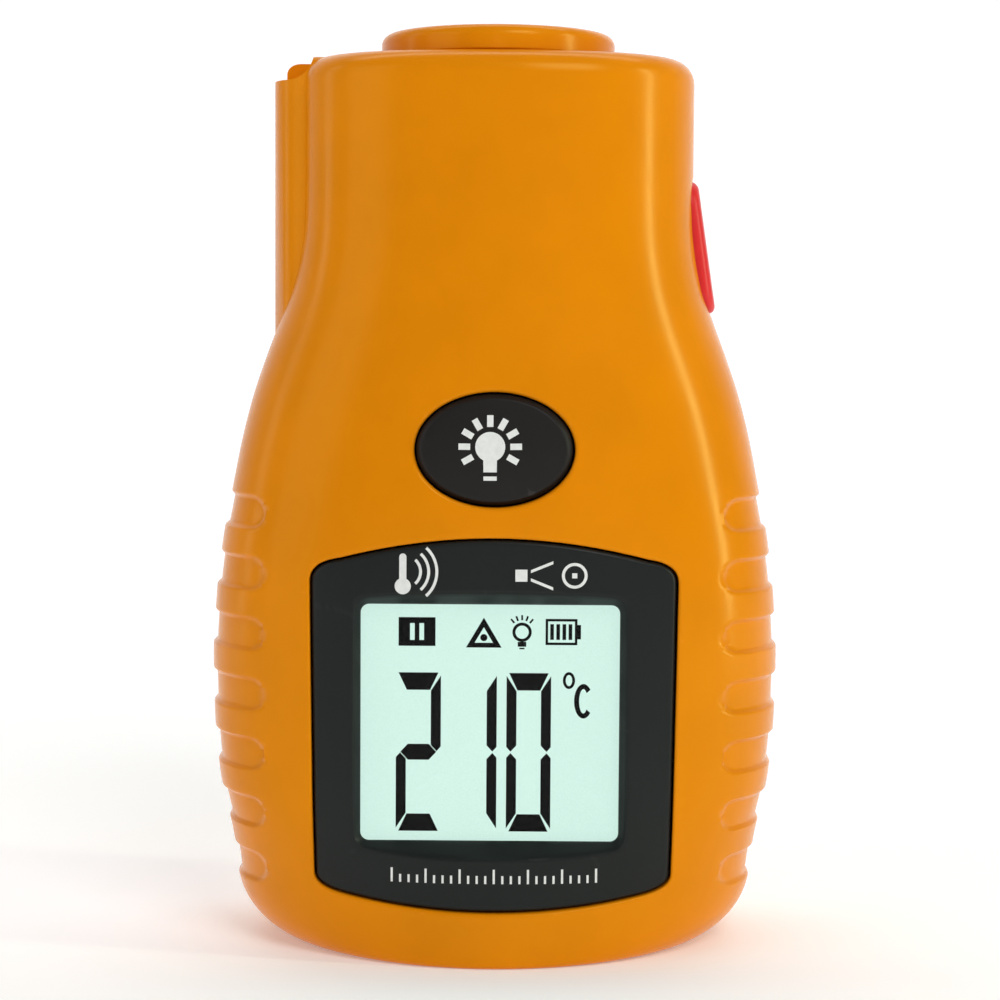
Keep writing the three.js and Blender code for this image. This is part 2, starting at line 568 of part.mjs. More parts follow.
function boardScrew([x, z]) {
  const seat = BOARD.back + 0.1;
  const driver = block(x - 1, x + 1, seat + 0.7, seat + 2, z - 0.22, z + 0.22)
    .add(block(x - 0.22, x + 0.22, seat + 0.7, seat + 2, z - 1, z + 1));
  return rodY(x, z, 0.75, -10.5, seat + 0.5, 10).add(rodY(x, z, 1.8, seat, seat + 1.2, 14)).subtract(driver);
}

// ---------------------------------------------------------------- the assembly

const thermometer = new THREE.Group();

function add(name, made, look) {
  const mesh = new THREE.Mesh(geometryOf(made), look);
  mesh.name = name;
  thermometer.add(mesh);
}

function addCasing() {
  add("front_shell", frontShell(), ORANGE);
  add("rear_shell", rearShell(), ORANGE);
  add("sensor_collar", sensorCollar(), ORANGE);
  CASE_SCREWS.forEach((place, k) => add(`case_screw_${k + 1}`, caseScrew(place), STEEL));
}

function addDisplay() {
  const behind = (depth) => SCREEN_SEAT + depth;
  add("display_bezel", displayBezel(), PANEL_BLACK);
  add("display_window", block(SCREEN.x - 16.9, SCREEN.x + 16.9, behind(0.1), behind(1.1), 12.9, 44.9), CLEAR);
  add("lcd_glass", block(-17.6, 17.6, behind(1.3), behind(3.3), 12.4, 45.6), LCD);
  add("lcd_holder", lcdHolder(), WHITE);
  add("light_guide", block(-15.6, 15.6, behind(3.5), behind(6), 16, 44.1), CLEAR);
  add("backlight_led_left", block(-18, -16.2, behind(3.8), behind(6.2), 28.5, 31.5), WHITE);
  add("backlight_led_right", block(16.2, 18, behind(3.8), behind(6.2), 28.5, 31.5), WHITE);
  add("zebra_strip", block(-15, 15, behind(3.45), BOARD.front - 0.05, 12.7, 14.9), WIRE_BLACK);
}

function addControls() {
  add("backlight_button", backlightButton(), RUBBER_BLACK);
  add("backlight_switch", backlightSwitch(), SWITCH_GREY);
  add("backlight_plunger", backlightPlunger(), CHIP_BLACK);
  add("trigger_button", triggerButton(), RED);
  add("trigger_switch", triggerSwitch(), SWITCH_GREY);
  add("trigger_plunger", triggerPlunger(), CHIP_BLACK);
}

function addElectronics() {
  const face = BOARD.back + 0.05;
  add("main_board", mainBoard(), GREEN);
  add("microcontroller", block(-5, 5, face, face + 1.6, 33, 43), CHIP_BLACK);
  add("amplifier_chip", block(-11, -6, face, face + 1.5, 56, 60), CHIP_BLACK);
  add("crystal", block(7, 12, face, face + 2.4, 26, 28), STEEL);
  add("filter_capacitor", rodY(8.5, 57.5, 2.5, face, face + 5.4, 20), STEEL);
  BOARD_SCREWS.forEach((place, k) => add(`board_screw_${k + 1}`, boardScrew(place), STEEL));
}

function addSensor() {
  add("lens_holder", lensHolder(), CHIP_BLACK);
  add("ir_lens", irLens(), LENS_DARK);
  add("lens_ring", lensRing(), STEEL);
  add("thermopile", thermopile(), STEEL);
  add("sensor_board", rodZ(0, 0, 7.3, 84.6, 85.8), GREEN);
  const ribbon = new THREE.Shape([[-2.5, -0.15], [2.5, -0.15], [2.5, 0.15], [-2.5, 0.15]]
    .map(([u, v]) => new THREE.Vector2(u, v)));
  add("sensor_ribbon", along([[0, 2.5, 84.4], [0, 2.6, 80], [0, 1.2, 73], [0, -2.4, 66.5], [0, -3.9, 62.5],
    [0, -4.1, 58.5]], ribbon, 14), FILM);
}

function addLaser() {
  const { x, y, low, top } = LASER;
  add("laser_barrel", laserBarrel(), BRASS);
  add("laser_sleeve", laserSleeve(), RUBBER_BLACK);
  add("laser_window", rodZ(x, y, 2.1, top + 1.5, top + 2.3, 16), CLEAR);
  const lead = (d) => along([[x + d, y, low - 0.3], [x + 1.2 + d, -1.2, 81.8 + d], [-18.5 + d, -1.6, 79.8 + d],
    [-15.5, -3, 79.8 + d], [-13, -3.75, 79.8 + d]], roundSection(0.4), 12);
  add("laser_lead_positive", lead(0.6), WIRE_RED);
  add("laser_lead_negative", lead(-0.6), WIRE_BLACK);
}

function addBatteries() {
  const { low, high } = BAY;
  const [plateY0, plateY1] = [6.4, 14];
  const floor = low + 0.1;
  const roof = high - 0.1;
  const reach = CELL.length;
  const downLow = floor + PLATE + 0.15; // the right cell stands on its button
  const upLow = roof - PLATE - 0.15 - reach; // the left cell's button meets the roof plate
  add("battery_left", cell(-CELL.x, upLow, true), CELL_WRAP);
  add("battery_right", cell(CELL.x, downLow, false), CELL_WRAP);
  add("bridge_contact", block(-10.4, 10.4, plateY0, plateY1, floor, floor + PLATE), STEEL);
  add("positive_contact", block(-10.4, -1.2, plateY0, plateY1 + 1, roof - PLATE, roof), STEEL);
  add("negative_contact", block(1.2, 10.4, plateY0, plateY1 + 1, roof - PLATE, roof), STEEL);
  add("contact_spring_left", coil(-CELL.x, floor + PLATE + 0.45, upLow - 0.45), STEEL);
  add("contact_spring_right", coil(CELL.x, roof - PLATE - 0.45, downLow + reach + 0.45), STEEL);
  const lead = (x) => along([[x, 3, 61.2], [x, 1.6, 63.5], [x * 1.3, -0.6, 65.6], [x * 1.7, -2.9, 65],
    [x * 1.8, -3.7, 62.6]], roundSection(0.55), 12);
  add("battery_lead_positive", lead(-4), WIRE_RED);
  add("battery_lead_negative", lead(5), WIRE_BLACK);
}

function addDoor() {
  add("battery_door", batteryDoor(), ORANGE);
  add("door_label", block(-9.5, 9.5, BACK - 0.27, BACK - 0.02, 16.5, 39.5), LABEL);
}

[addCasing, addDisplay, addControls, addElectronics, addSensor, addLaser, addBatteries, addDoor]
  .forEach((step) => step());

export default thermometer;
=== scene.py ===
"""Looks for the pocket infrared thermometer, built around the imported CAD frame.

Lengths are worked out in millimetres and turned into metres when a mesh is made.
+Z is up towards the sensor, the display faces -Y, and the origin is the centre of the base.
"""
import math

import bpy
import numpy as np
from mathutils import Matrix, Vector
from mathutils.geometry import tessellate_polygon


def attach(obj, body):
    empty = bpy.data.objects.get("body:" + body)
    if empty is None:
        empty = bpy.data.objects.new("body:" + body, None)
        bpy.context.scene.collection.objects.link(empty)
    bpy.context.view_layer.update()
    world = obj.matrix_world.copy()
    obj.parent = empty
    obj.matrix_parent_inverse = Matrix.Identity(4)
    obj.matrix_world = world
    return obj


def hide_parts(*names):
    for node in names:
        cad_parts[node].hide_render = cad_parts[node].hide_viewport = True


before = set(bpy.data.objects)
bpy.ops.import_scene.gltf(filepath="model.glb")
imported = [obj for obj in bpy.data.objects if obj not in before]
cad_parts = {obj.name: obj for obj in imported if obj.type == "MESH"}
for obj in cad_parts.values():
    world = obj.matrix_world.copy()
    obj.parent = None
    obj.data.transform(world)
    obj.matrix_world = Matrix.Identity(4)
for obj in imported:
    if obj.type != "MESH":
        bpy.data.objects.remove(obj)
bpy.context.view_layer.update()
MM = 0.001

# ---------------------------------------------------------------- sizes, as in the CAD model

HEIGHT = 107.5
BACK = 19.8
SEAM = 0.24
WALL = 2.0
TOP_ROUND = 2.8
BASE_ROUND = 0.75
CHIN = {"height": 8.0, "draw": 9.0}
LIP = {"depth": 1.0, "root": 0.9, "reach": 1.1, "play": 0.12}
GAP = 0.25
RIM_STEPS = 5

GRIP_TOP, GRIP_PITCH, GRIP_COUNT = 53.1, 7.2, 7
GRIP_HALF, GRIP_REACH, GRIP_FRONT_X, GRIP_DEPTH = 2.0, 13.6, 27.3, 0.48

COLUMN = {"x": -21.2, "y": -0.5, "r": 6.0, "edge": 1.3, "wall": 1.3, "hollow_top": 103.0, "foot": 66.0}
SCOOP = {"x": -25.1, "z": 107.8, "r": 3.0, "floor": 104.9, "back": 3.0}
LABEL = {"w": 19.0, "h": 23.0, "z": 28.0, "corner": 0.9}
LASER = {"x": -22.9, "y": -1.3, "exit": 1.3}
PANEL_INSET = 0.3
SCREEN = {"x": -0.4, "z": 28.8, "w": 30.4, "h": 28.0}
SEAT = -16.8
KEY = {"z": 61.0, "rx": 9.1, "rz": 6.45}
TRIGGER = {"low": 77.0, "high": 93.1, "half": 4.5, "corner": 3.0, "face": 25.7, "slope": 0.148}
CASE_SCREWS = [(-26, 14), (26, 14), (-13.5, 98), (13.5, 98)]
SCREW_SEAT = 5.0
BAY = {"half": 11.6, "front": 5.3, "low": 8.5, "high": 60.5, "wall": 1.5}
DOOR = {"half": 12.75, "low": 7.75, "high": 61.25, "thick": 1.8, "corner": 2.5}
CELL = {"r": 5.25, "length": 44.5, "x": 5.8, "y": 11.6}


def stations(pairs):
    """A smooth function of height through (height, value) pairs, without overshoot."""
    z = np.array([p[0] for p in pairs], float)
    v = np.array([p[1] for p in pairs], float)
    slope = np.diff(v) / np.diff(z)
    tangent = np.zeros(len(z))
    for k in range(1, len(z) - 1):
        before, after = slope[k - 1], slope[k]
        tangent[k] = 0 if before * after <= 0 else 2 * before * after / (before + after)
    fine = np.linspace(z[0], z[-1], 4001)
    k = np.clip(np.searchsorted(z, fine, side="right") - 1, 0, len(z) - 2)
    span = z[k + 1] - z[k]
    t = (fine - z[k]) / span
    rise = t * t * (3 - 2 * t)
    value = (v[k] * (1 - rise) + v[k + 1] * rise
             + span * (tangent[k] * t * (1 - t) ** 2 - tangent[k + 1] * t * t * (1 - t)))
    return lambda at: np.interp(at, fine, value)


full_half_width = stations([
    (0, 31.2), (12, 32.2), (21, 33.9), (28, 34.5), (35, 34.65), (42, 34.3), (49, 33.5), (56, 32.2),
    (62, 31), (67, 29.7), (72, 28), (76, 26.5), (80, 25.2), (84, 24.4), (88, 24), (94, 23.9), (107.5, 23.9)])
front_depth = stations([(0, 19.8), (52, 19.4), (66, 18.6), (80, 17.5), (90, 17.2), (107.5, 17.2)])
rear_depth = stations([(0, 20.4), (8, 21), (62, 21), (72, 20), (84, 18), (92, 17.4), (107.5, 17.4)])
front_power = stations([(0, 2), (4, 2), (22, 2.6), (50, 2.6), (75, 2.4), (107.5, 2.35)])
rear_power = stations([(0, 2.4), (10, 3.4), (60, 3.4), (80, 2.8), (107.5, 2.5)])


def half_width(z):
    """Half the width at a height: the sides round in to the base by a quarter ellipse."""
    below = np.clip(1 - np.asarray(z, float) / CHIN["height"], 0, 1)
    return full_half_width(z) - CHIN["draw"] * (1 - np.sqrt(1 - below ** 2))


def round_inset(radius, distance):
    """How far a rounded edge has drawn in, at a distance from the end face."""
    d = np.minimum(distance, radius)
    return radius - np.sqrt(np.maximum(radius ** 2 - (radius - d) ** 2, 0))


def soft_limit(value, limit, blend):
    """value, held smoothly under limit."""
    h = np.clip(0.5 + 0.5 * (limit - value) / blend, 0, 1)
    return value * h + limit * (1 - h) - blend * h * (1 - h)


def section_point(angle, z, inset):
    """A point of the casing, inset from its outer surface. Arrays broadcast together."""
    c, s = np.cos(angle), np.sin(angle)
    front = s < 0
    power = 2 / np.where(front, front_power(z), rear_power(z))
    edge = round_inset(TOP_ROUND, HEIGHT - z) + round_inset(BASE_ROUND, z)
    x = (half_width(z) - inset - edge) * np.sign(c) * np.abs(c) ** power
    deep = np.where(front, front_depth(z), rear_depth(z)) - inset - edge
    y = deep * np.sign(s) * np.abs(s) ** power
    y = np.where(front, y, soft_limit(y, BACK - inset - edge, 0.9))
    return x, y


def front_y(x, z):
    """y of the casing's front surface."""
    w, d, p = half_width(z), front_depth(z), front_power(z)
    return -d * np.maximum(1 - (np.abs(x) / w) ** p, 1e-6) ** (1 / p)


def rear_y(x, z):
    """y of the casing's rear surface."""
    w, d, p = half_width(z), rear_depth(z), rear_power(z)
    return soft_limit(d * np.maximum(1 - (np.abs(x) / w) ** p, 1e-6) ** (1 / p), BACK, 0.9)


def right_x(y, z):
    """x of the casing's right-hand surface."""
    w = half_width(z)
    d = np.where(y < 0, front_depth(z), rear_depth(z))
    p = np.where(y < 0, front_power(z), rear_power(z))
    return w * np.maximum(1 - (np.abs(y) / d) ** p, 1e-6) ** (1 / p)


def smoothstep(t):
    t = np.clip(t, 0, 1)
    return t * t * (3 - 2 * t)


def grip_inset(x, y, z):
    """Depth of the finger grips at a point of the casing."""
    depth = np.zeros(np.broadcast(x, y, z).shape)
    for k in range(GRIP_COUNT):
        middle = GRIP_TOP - k * GRIP_PITCH
        r = GRIP_HALF - 0.05
        past_front = np.maximum(GRIP_FRONT_X + r - np.abs(x), 0)
        dy = np.where(y < 0, past_front, np.maximum(y - (GRIP_REACH - r), 0))
        dz = np.maximum(np.abs(z - middle) - (GRIP_HALF - r), 0)
        edge = np.hypot(dy, dz) - r
        depth = np.maximum(depth, GRIP_DEPTH * smoothstep((0.16 - edge) / 0.62))
    return depth * (np.abs(x) > 20)


# ---------------------------------------------------------------- mesh helpers

def make_object(name, points, faces, flip_check=True):
    """A mesh object from points in millimetres, its faces turned outwards."""
    points = np.asarray(points, float)
    if flip_check:
        volume = 0.0
        for face in faces:
            a = points[face[0]]
            for i in range(1, len(face) - 1):
                volume += np.dot(a, np.cross(points[face[i]], points[face[i + 1]]))
        if volume < 0:
            faces = [tuple(reversed(f)) for f in faces]
    mesh = bpy.data.meshes.new(name)
    mesh.from_pydata((points * MM).tolist(), [], [tuple(int(i) for i in f) for f in faces])
    mesh.validate()
    obj = bpy.data.objects.new(name, mesh)
    bpy.context.scene.collection.objects.link(obj)
    return obj


def loft(name, rings, closed_loop=False):
    """Rings of equal length, stacked and capped, or joined end to end as a closed loop."""
    n = len(rings[0])
    points = np.concatenate([np.asarray(r, float) for r in rings])
    count = len(rings)
    faces = []
    for k in range(count if closed_loop else count - 1):
        low, high = k * n, ((k + 1) % count) * n
        for i in range(n):
            j = (i + 1) % n
            faces.append((low + i, low + j, high + j, high + i))
    if not closed_loop:
        faces.append(tuple(reversed(range(n))))
        faces.append(tuple(range((count - 1) * n, count * n)))
    return make_object(name, points, faces)


def ring_z(points, z):
    """2-D points at one height."""
    return np.column_stack([points[:, 0], points[:, 1], np.full(len(points), float(z))])


def ring_y(points, y):
    """2-D points in x and z, at one y or at a y for each."""
    return np.column_stack([points[:, 0], np.broadcast_to(y, len(points)), points[:, 1]])


def circle(count):
    return np.linspace(0, 2 * np.pi, count, endpoint=False)


def oval(cx, cz, rx, rz, angles):
    """Points of an ellipse about cx, cz."""
    return np.column_stack([cx + rx * np.cos(angles), cz + rz * np.sin(angles)])


def revolve(name, profile, centre=(0, 0), count=96):
    """A turned piece on a vertical axis; the profile runs from the axis to the axis."""
    thin = 1e-3  # keeps the points on the axis apart
    return loft(name, [ring_z(oval(*centre, max(r, thin), max(r, thin), circle(count)), z)
                       for r, z in profile])


def boolean(target, cutter, operation, keep_cutter=False):
    """Change target by one exact mesh boolean, and drop the cutter unless it is kept."""
    modifier = target.modifiers.new("cut", "BOOLEAN")
    modifier.operation = operation
    modifier.object = cutter
    modifier.solver = "MANIFOLD"
    bpy.context.view_layer.update()
    graph = bpy.context.evaluated_depsgraph_get()
    mesh = bpy.data.meshes.new_from_object(target.evaluated_get(graph))
    target.modifiers.clear()
    old = target.data
    if len(mesh.polygons) == 0:
        print("boolean left nothing:", target.name, operation, cutter.name)
    target.data = mesh
    bpy.data.meshes.remove(old)
    if not keep_cutter:
        remove(cutter)
    return target


def cut(target, cutter):
    return boolean(target, cutter, "DIFFERENCE")


def join(target, piece):
    return boolean(target, piece, "UNION")


def remove(obj):
    mesh = obj.data
    bpy.data.objects.remove(obj)
    if mesh.users == 0:
        bpy.data.meshes.remove(mesh)


def copy_of(obj, name):
    twin = obj.copy()
    twin.data = obj.data.copy()
    twin.name = name
    bpy.context.scene.collection.objects.link(twin)
    return twin


def box(name, x0, x1, y0, y1, z0, z1):
    ring = [[x0, y0], [x1, y0], [x1, y1], [x0, y1]]
    return loft(name, [ring_z(np.array(ring, float), z0), ring_z(np.array(ring, float), z1)])


def smooth(obj, angle=32):
    for polygon in obj.data.polygons:
        polygon.use_smooth = True
    obj.data.set_sharp_from_angle(angle=math.radians(angle))


def rounded_rect(w, h, r, per_corner=12):
    """Points of a rounded rectangle about the origin, anticlockwise from its right side's foot."""
    out = []
    for cx, cy, a0 in ((w / 2 - r, -h / 2 + r, -90), (w / 2 - r, h / 2 - r, 0),
                       (-w / 2 + r, h / 2 - r, 90), (-w / 2 + r, -h / 2 + r, 180)):
        for k in range(per_corner + 1):
            a = math.radians(a0 + 90 * k / per_corner)
            out.append((cx + r * math.cos(a), cy + r * math.sin(a)))
    return np.array(out)


def bezier(p0, p1, p2, count):
    t = np.linspace(0, 1, count, endpoint=False)[:, None]
    p0, p1, p2 = (np.array(p, float) for p in (p0, p1, p2))
    return (1 - t) ** 2 * p0 + 2 * t * (1 - t) * p1 + t * t * p2


def panel_curve():
    """The display panel's outline in x and z, anticlockwise as seen in +x right, +z up."""
    wt, wb, st, sb, at, ab, corner = 21.4, 20.9, 46.4, 10.6, 50.5, 6.9, 3.4
    parts = [
        bezier((wb, sb), ((wb + wt) / 2, (sb + st) / 2), (wt, st - 1), 60),
        bezier((wt, st - 1), (wt, st + 1.1), (wt - corner, st + 1.6), 40),
        bezier((wt - corner, st + 1.6), (wt / 2.4, at), (0, at), 60),
        bezier((0, at), (-wt / 2.4, at), (corner - wt, st + 1.6), 60),
        bezier((corner - wt, st + 1.6), (-wt, st + 1.1), (-wt, st - 1), 40),
        bezier((-wt, st - 1), (-(wb + wt) / 2, (sb + st) / 2), (-wb, sb), 60),
        bezier((-wb, sb), (-wb, sb - 1.5), (corner - wb, sb - 2.1), 40),
        bezier((corner - wb, sb - 2.1), (-wb / 2.4, ab), (0, ab), 60),
        bezier((0, ab), (wb / 2.4, ab), (wb - corner, sb - 2.1), 60),
        bezier((wb - corner, sb - 2.1), (wb, sb - 1.5), (wb, sb), 40),
    ]
    return np.concatenate(parts)


def offset_curve(points, margin):
    """A closed curve grown outwards by margin along its normals."""
    before, after = np.roll(points, 1, axis=0), np.roll(points, -1, axis=0)
    t = after - before
    t /= np.linalg.norm(t, axis=1)[:, None]
    return points + margin * np.column_stack([t[:, 1], -t[:, 0]])


def resampled(points, count):
    """Evenly spaced points along a closed curve."""
    closed = np.vstack([points, points[:1]])
    run = np.concatenate([[0], np.cumsum(np.linalg.norm(np.diff(closed, axis=0), axis=1))])
    at = np.linspace(0, run[-1], count, endpoint=False)
    return np.column_stack([np.interp(at, run, closed[:, 0]), np.interp(at, run, closed[:, 1])])


def rim_cutter(name, curve, surface, outward, deep, radius, axis="y"):
    """A plug along an axis whose edge flares, so that the hole it cuts has a rounded rim.

    curve is the hole's outline in the other two axes, surface(u, v) the skin's coordinate along the
    axis, outward +1 or -1, and deep the plug's inner end along the axis."""
    rings = []

    def place(points, along):
        if axis == "y":
            return np.column_stack([points[:, 0], along, points[:, 1]])
        return np.column_stack([along, points[:, 0], points[:, 1]])

    rings.append(place(curve, np.full(len(curve), float(deep))))
    for k in range(RIM_STEPS + 1):
        a = k / RIM_STEPS * math.pi / 2
        grown = offset_curve(curve, radius * (1 - math.cos(a)))
        skin = surface(grown[:, 0], grown[:, 1])
        rings.append(place(grown, skin - outward * radius * (1 - math.sin(a))))
    grown = offset_curve(curve, radius * 1.02)
    rings.append(place(grown, surface(grown[:, 0], grown[:, 1]) + outward * 0.5))
    rings.append(place(grown, np.full(len(grown), outward * 45.0)))
    return loft(name, rings)


# ---------------------------------------------------------------- the casing

def casing_mesh(name, around, heights, inset=0.0, grips=False):
    # angles spaced evenly along a mid-height section
    fine = np.linspace(0, 2 * np.pi, 7201)
    x, y = section_point(fine, np.full(len(fine), 40.0), 0.0)
    run = np.concatenate([[0], np.cumsum(np.hypot(np.diff(x), np.diff(y)))])
    angles = np.interp(np.linspace(0, run[-1], around, endpoint=False), run, fine)
    rings = []
    for z in heights:
        level = np.full(around, float(z))
        x, y = section_point(angles, level, inset)
        if grips:
            x, y = section_point(angles, level, inset + grip_inset(x, y, level))
        rings.append(np.column_stack([x, y, level]))
    return loft(name, rings)


def casing_heights():
    ends = [0, 0.015, 0.05, 0.11, 0.2, 0.33, 0.5, 0.75, 1.0]
    base = list(np.arange(1.3, 7.0, 0.36))
    gripped = list(np.arange(7.2, 56.2, 0.17))
    neck = list(np.arange(56.8, 104.4, 0.8))
    top = [HEIGHT - t for t in (2.8, 2.3, 1.8, 1.35, 0.95, 0.62, 0.36, 0.16, 0.05, 0.0)]
    return ends + base + gripped + neck + top


def column_mesh(name, r, top, edge):
    c = COLUMN
    profile = [(0, c["foot"]), (r, c["foot"])]
    profile += [(r - edge + edge * math.cos(a), top - edge + edge * math.sin(a))
                for a in np.linspace(0, math.pi / 2, 9)]
    profile.append((0, top))
    return revolve(name, profile, (c["x"], c["y"]), 96)


def scoop_cutter(name):
    """Takes the top front corner off the laser column, leaving a round-backed step."""
    s = SCOOP
    outline = [(-60.0, s["floor"])]
    for a in np.linspace(-math.pi / 2, 0.06, 20):
        outline.append((s["x"] + s["r"] * math.cos(a), s["z"] + s["r"] * math.sin(a)))
    outline += [(s["x"] + s["r"], s["z"] + 3), (-60.0, s["z"] + 3)]
    ring = np.array(outline)
    return loft(name, [ring_y(ring, -60.0), ring_y(ring, s["back"])])


def ellipse(rx, rz, count=128):
    """An ellipse about the middle of the backlight key."""
    return oval(0, KEY["z"], rx, rz, circle(count))


def trigger_curve(margin=0.0, count_corner=10):
    low, high = TRIGGER["low"], TRIGGER["high"]
    points = rounded_rect(2 * (TRIGGER["half"] + margin), high - low + 2 * margin,
                          TRIGGER["corner"] + margin, count_corner)
    return points + np.array([0, (low + high) / 2])


def seam_lip(inner, play):
    """The wall's inner layer near the parting line, which closes the gap between the shells."""
    levels = [1.0, 1.3, 2.0, 3.0, 5.0] + list(np.arange(8, 104, 3.0))
    levels += [104.8, 105.6, 106.2, HEIGHT - 1.0]
    layer = casing_mesh("lip", 160, levels, inset=LIP["depth"] - play)
    half = COLUMN["wall"] / 2
    column = (COLUMN["r"] - half + play, COLUMN["hollow_top"] + half + play, 0.8)
    join(layer, column_mesh("lip_column", *column))
    boolean(layer, inner, "DIFFERENCE", keep_cutter=True)
    band = box("band", -60, 60, -LIP["root"], LIP["reach"] + play, 0, 120)
    return boolean(layer, band, "INTERSECT")


def throat_cutter():
    return revolve("throat", [(0, 103), (12.6, 103), (12.6, 109), (0, 109)], count=96)


def trigger_cutter():
    return rim_cutter("trigger_hole", trigger_curve(GAP), right_x, 1, 18, 0.35, axis="x")


def casing_shells():
    outer = casing_mesh("front_shell_looks", 264, casing_heights(), grips=True)
    join(outer, column_mesh("column", COLUMN["r"], HEIGHT, COLUMN["edge"]))
    cut(outer, scoop_cutter("scoop"))
    levels = [2.0, 2.5, 4] + list(np.arange(8, 104, 4.0)) + [104.8, HEIGHT - WALL]
    inner = casing_mesh("inner", 96, levels, inset=WALL)
    join(inner, column_mesh("inner_column", COLUMN["r"] - COLUMN["wall"], COLUMN["hollow_top"], 0.8))
    cut(outer, throat_cutter())
    exit_hole = [(0, 101), (LASER["exit"], 101), (LASER["exit"], 108), (0, 108)]
    cut(outer, revolve("exit", exit_hole, (LASER["x"], LASER["y"]), 40))
    cut(outer, trigger_cutter())

    rear = copy_of(outer, "rear_shell_looks")
    # front half
    cut(outer, box("half", -70, 70, -SEAM / 2, 60, -5, 120))
    boolean(outer, inner, "DIFFERENCE", keep_cutter=True)
    lip = seam_lip(inner, 0.0)
    cut(lip, throat_cutter())
    cut(lip, trigger_cutter())
    join(outer, lip)
    panel = offset_curve(resampled(panel_curve(), 420), GAP)
    cut(outer, rim_cutter("panel_hole", panel, front_y, -1, -9, 0.4))
    key = ellipse(KEY["rx"] + GAP, KEY["rz"] + GAP)
    cut(outer, rim_cutter("key_hole", key, front_y, -1, -12, 0.45))
    smooth(outer)

    # rear half
    cut(rear, box("half", -70, 70, -60, SEAM / 2, -5, 120))
    cut(rear, seam_lip(inner, LIP["play"]))
    cut(rear, inner)
    b = BAY
    bay = box("bay", -b["half"] - b["wall"], b["half"] + b["wall"], b["front"] - b["wall"], BACK - 0.4,
              b["low"] - b["wall"], b["high"] + b["wall"])
    join(rear, bay)
    filling = casing_mesh("filling", 96, [0.6] + levels[1:-1] + [HEIGHT - 0.6], inset=0.6)
    for k, (x, z) in enumerate(CASE_SCREWS):
        tube = revolve(f"tube{k}", [(0, 0), (3.7, 0), (3.7, 18), (0, 18)], count=32)
        tube.data.transform(turn_to_y(x, z, 1.0))
        boolean(tube, filling, "INTERSECT", keep_cutter=True)
        join(rear, tube)
    remove(filling)
    for x, z in CASE_SCREWS:
        hole = oval(x, z, 2.7, 2.7, circle(64))
        cut(rear, rim_cutter("head", hole, rear_y, 1, SCREW_SEAT, 0.3))
        shank = oval(x, z, 1.4, 1.4, circle(64))
        cut(rear, rim_cutter("shank", shank, rear_y, 1, -1, 0.01))
    cut(rear, box("cells", -b["half"], b["half"], b["front"], 25, b["low"], b["high"]))
    cut(rear, box("tab_pocket", -b["half"], b["half"], BACK - 4.6, BACK - 2.0,
                  b["low"] - 4, b["low"] + 1))
    d = DOOR
    doorway = rounded_rect(2 * (d["half"] + GAP), d["high"] - d["low"] + 2 * GAP, d["corner"] + GAP, 10)
    doorway = doorway + np.array([0, (d["low"] + d["high"]) / 2])
    cut(rear, rim_cutter("doorway", doorway, rear_y, 1, BACK - d["thick"] - 0.2, 0.3))
    cut(rear, nail_cutter(d["high"] + 1))
    smooth(rear)
    return outer, rear


def turn_to_y(x, z, y0):
    """A matrix, in metres, that lays a turned piece along +Y from y0."""
    lay = Matrix.Rotation(math.radians(-90), 4, "X")
    return Matrix.Translation((x * MM, y0 * MM, z * MM)) @ lay


def nail_cutter(z):
    """A shallow dished notch that lets a thumbnail under the door's top edge."""
    steps = ((0.80, BACK - 0.9), (0.93, BACK - 0.75), (0.99, BACK - 0.3), (1.0, BACK + 1))
    return loft("nail", [ring_y(oval(0, z, 6 * share, 4.2 * share, circle(64)), y) for share, y in steps])


def sensor_collar():
    r, top, foot, step, lip = 14.2, HEIGHT + 3.1, HEIGHT - 4.4, HEIGHT - 2.3, HEIGHT + 0.1
    outside = [(9.0, foot), (13.8, foot), (13.8, step), (12.4, step), (12.4, lip), (r - 0.15, lip),
               (r, lip + 0.15)]
    edge = 1.3
    outside += [(r - edge + edge * math.cos(a), top - edge + edge * math.sin(a))
                for a in np.linspace(0, math.pi / 2, 10)]
    inside = [(12.1, top), (11.75, top - 0.06), (11.45, top - 0.22), (11.25, top - 0.5),
              (10.95, top - 0.75), (9.05, foot + 1.85), (9.0, foot + 1.7)]
    return closed_revolve("sensor_collar_looks", outside + inside, 160)


def closed_revolve(name, profile, count):
    """A turned ring whose profile closes on itself."""
    obj = loft(name, [ring_z(oval(0, 0, r, r, circle(count)), z) for r, z in profile], closed_loop=True)
    smooth(obj)
    return obj


# ---------------------------------------------------------------- display

def polar(curve, centre, angles):
    """A curve that is star-shaped about a centre, sampled at angles."""
    d = curve - centre
    a = np.unwrap(np.arctan2(d[:, 1], d[:, 0]))
    r = np.hypot(d[:, 0], d[:, 1])
    if a[-1] < a[0]:
        a, r = a[::-1], r[::-1]
    a = np.concatenate([a - 2 * np.pi, a, a + 2 * np.pi])
    r = np.concatenate([r, r, r])
    found = np.interp(angles, a, r)
    return np.column_stack([centre[0] + found * np.cos(angles), centre[1] + found * np.sin(angles)])


def screen_curve(margin):
    points = rounded_rect(SCREEN["w"] + 2 * margin, SCREEN["h"] + 2 * margin, 1.0 + margin / 2, 16)
    dense = resampled(points, 2400)
    return dense + np.array([SCREEN["x"], SCREEN["z"]])


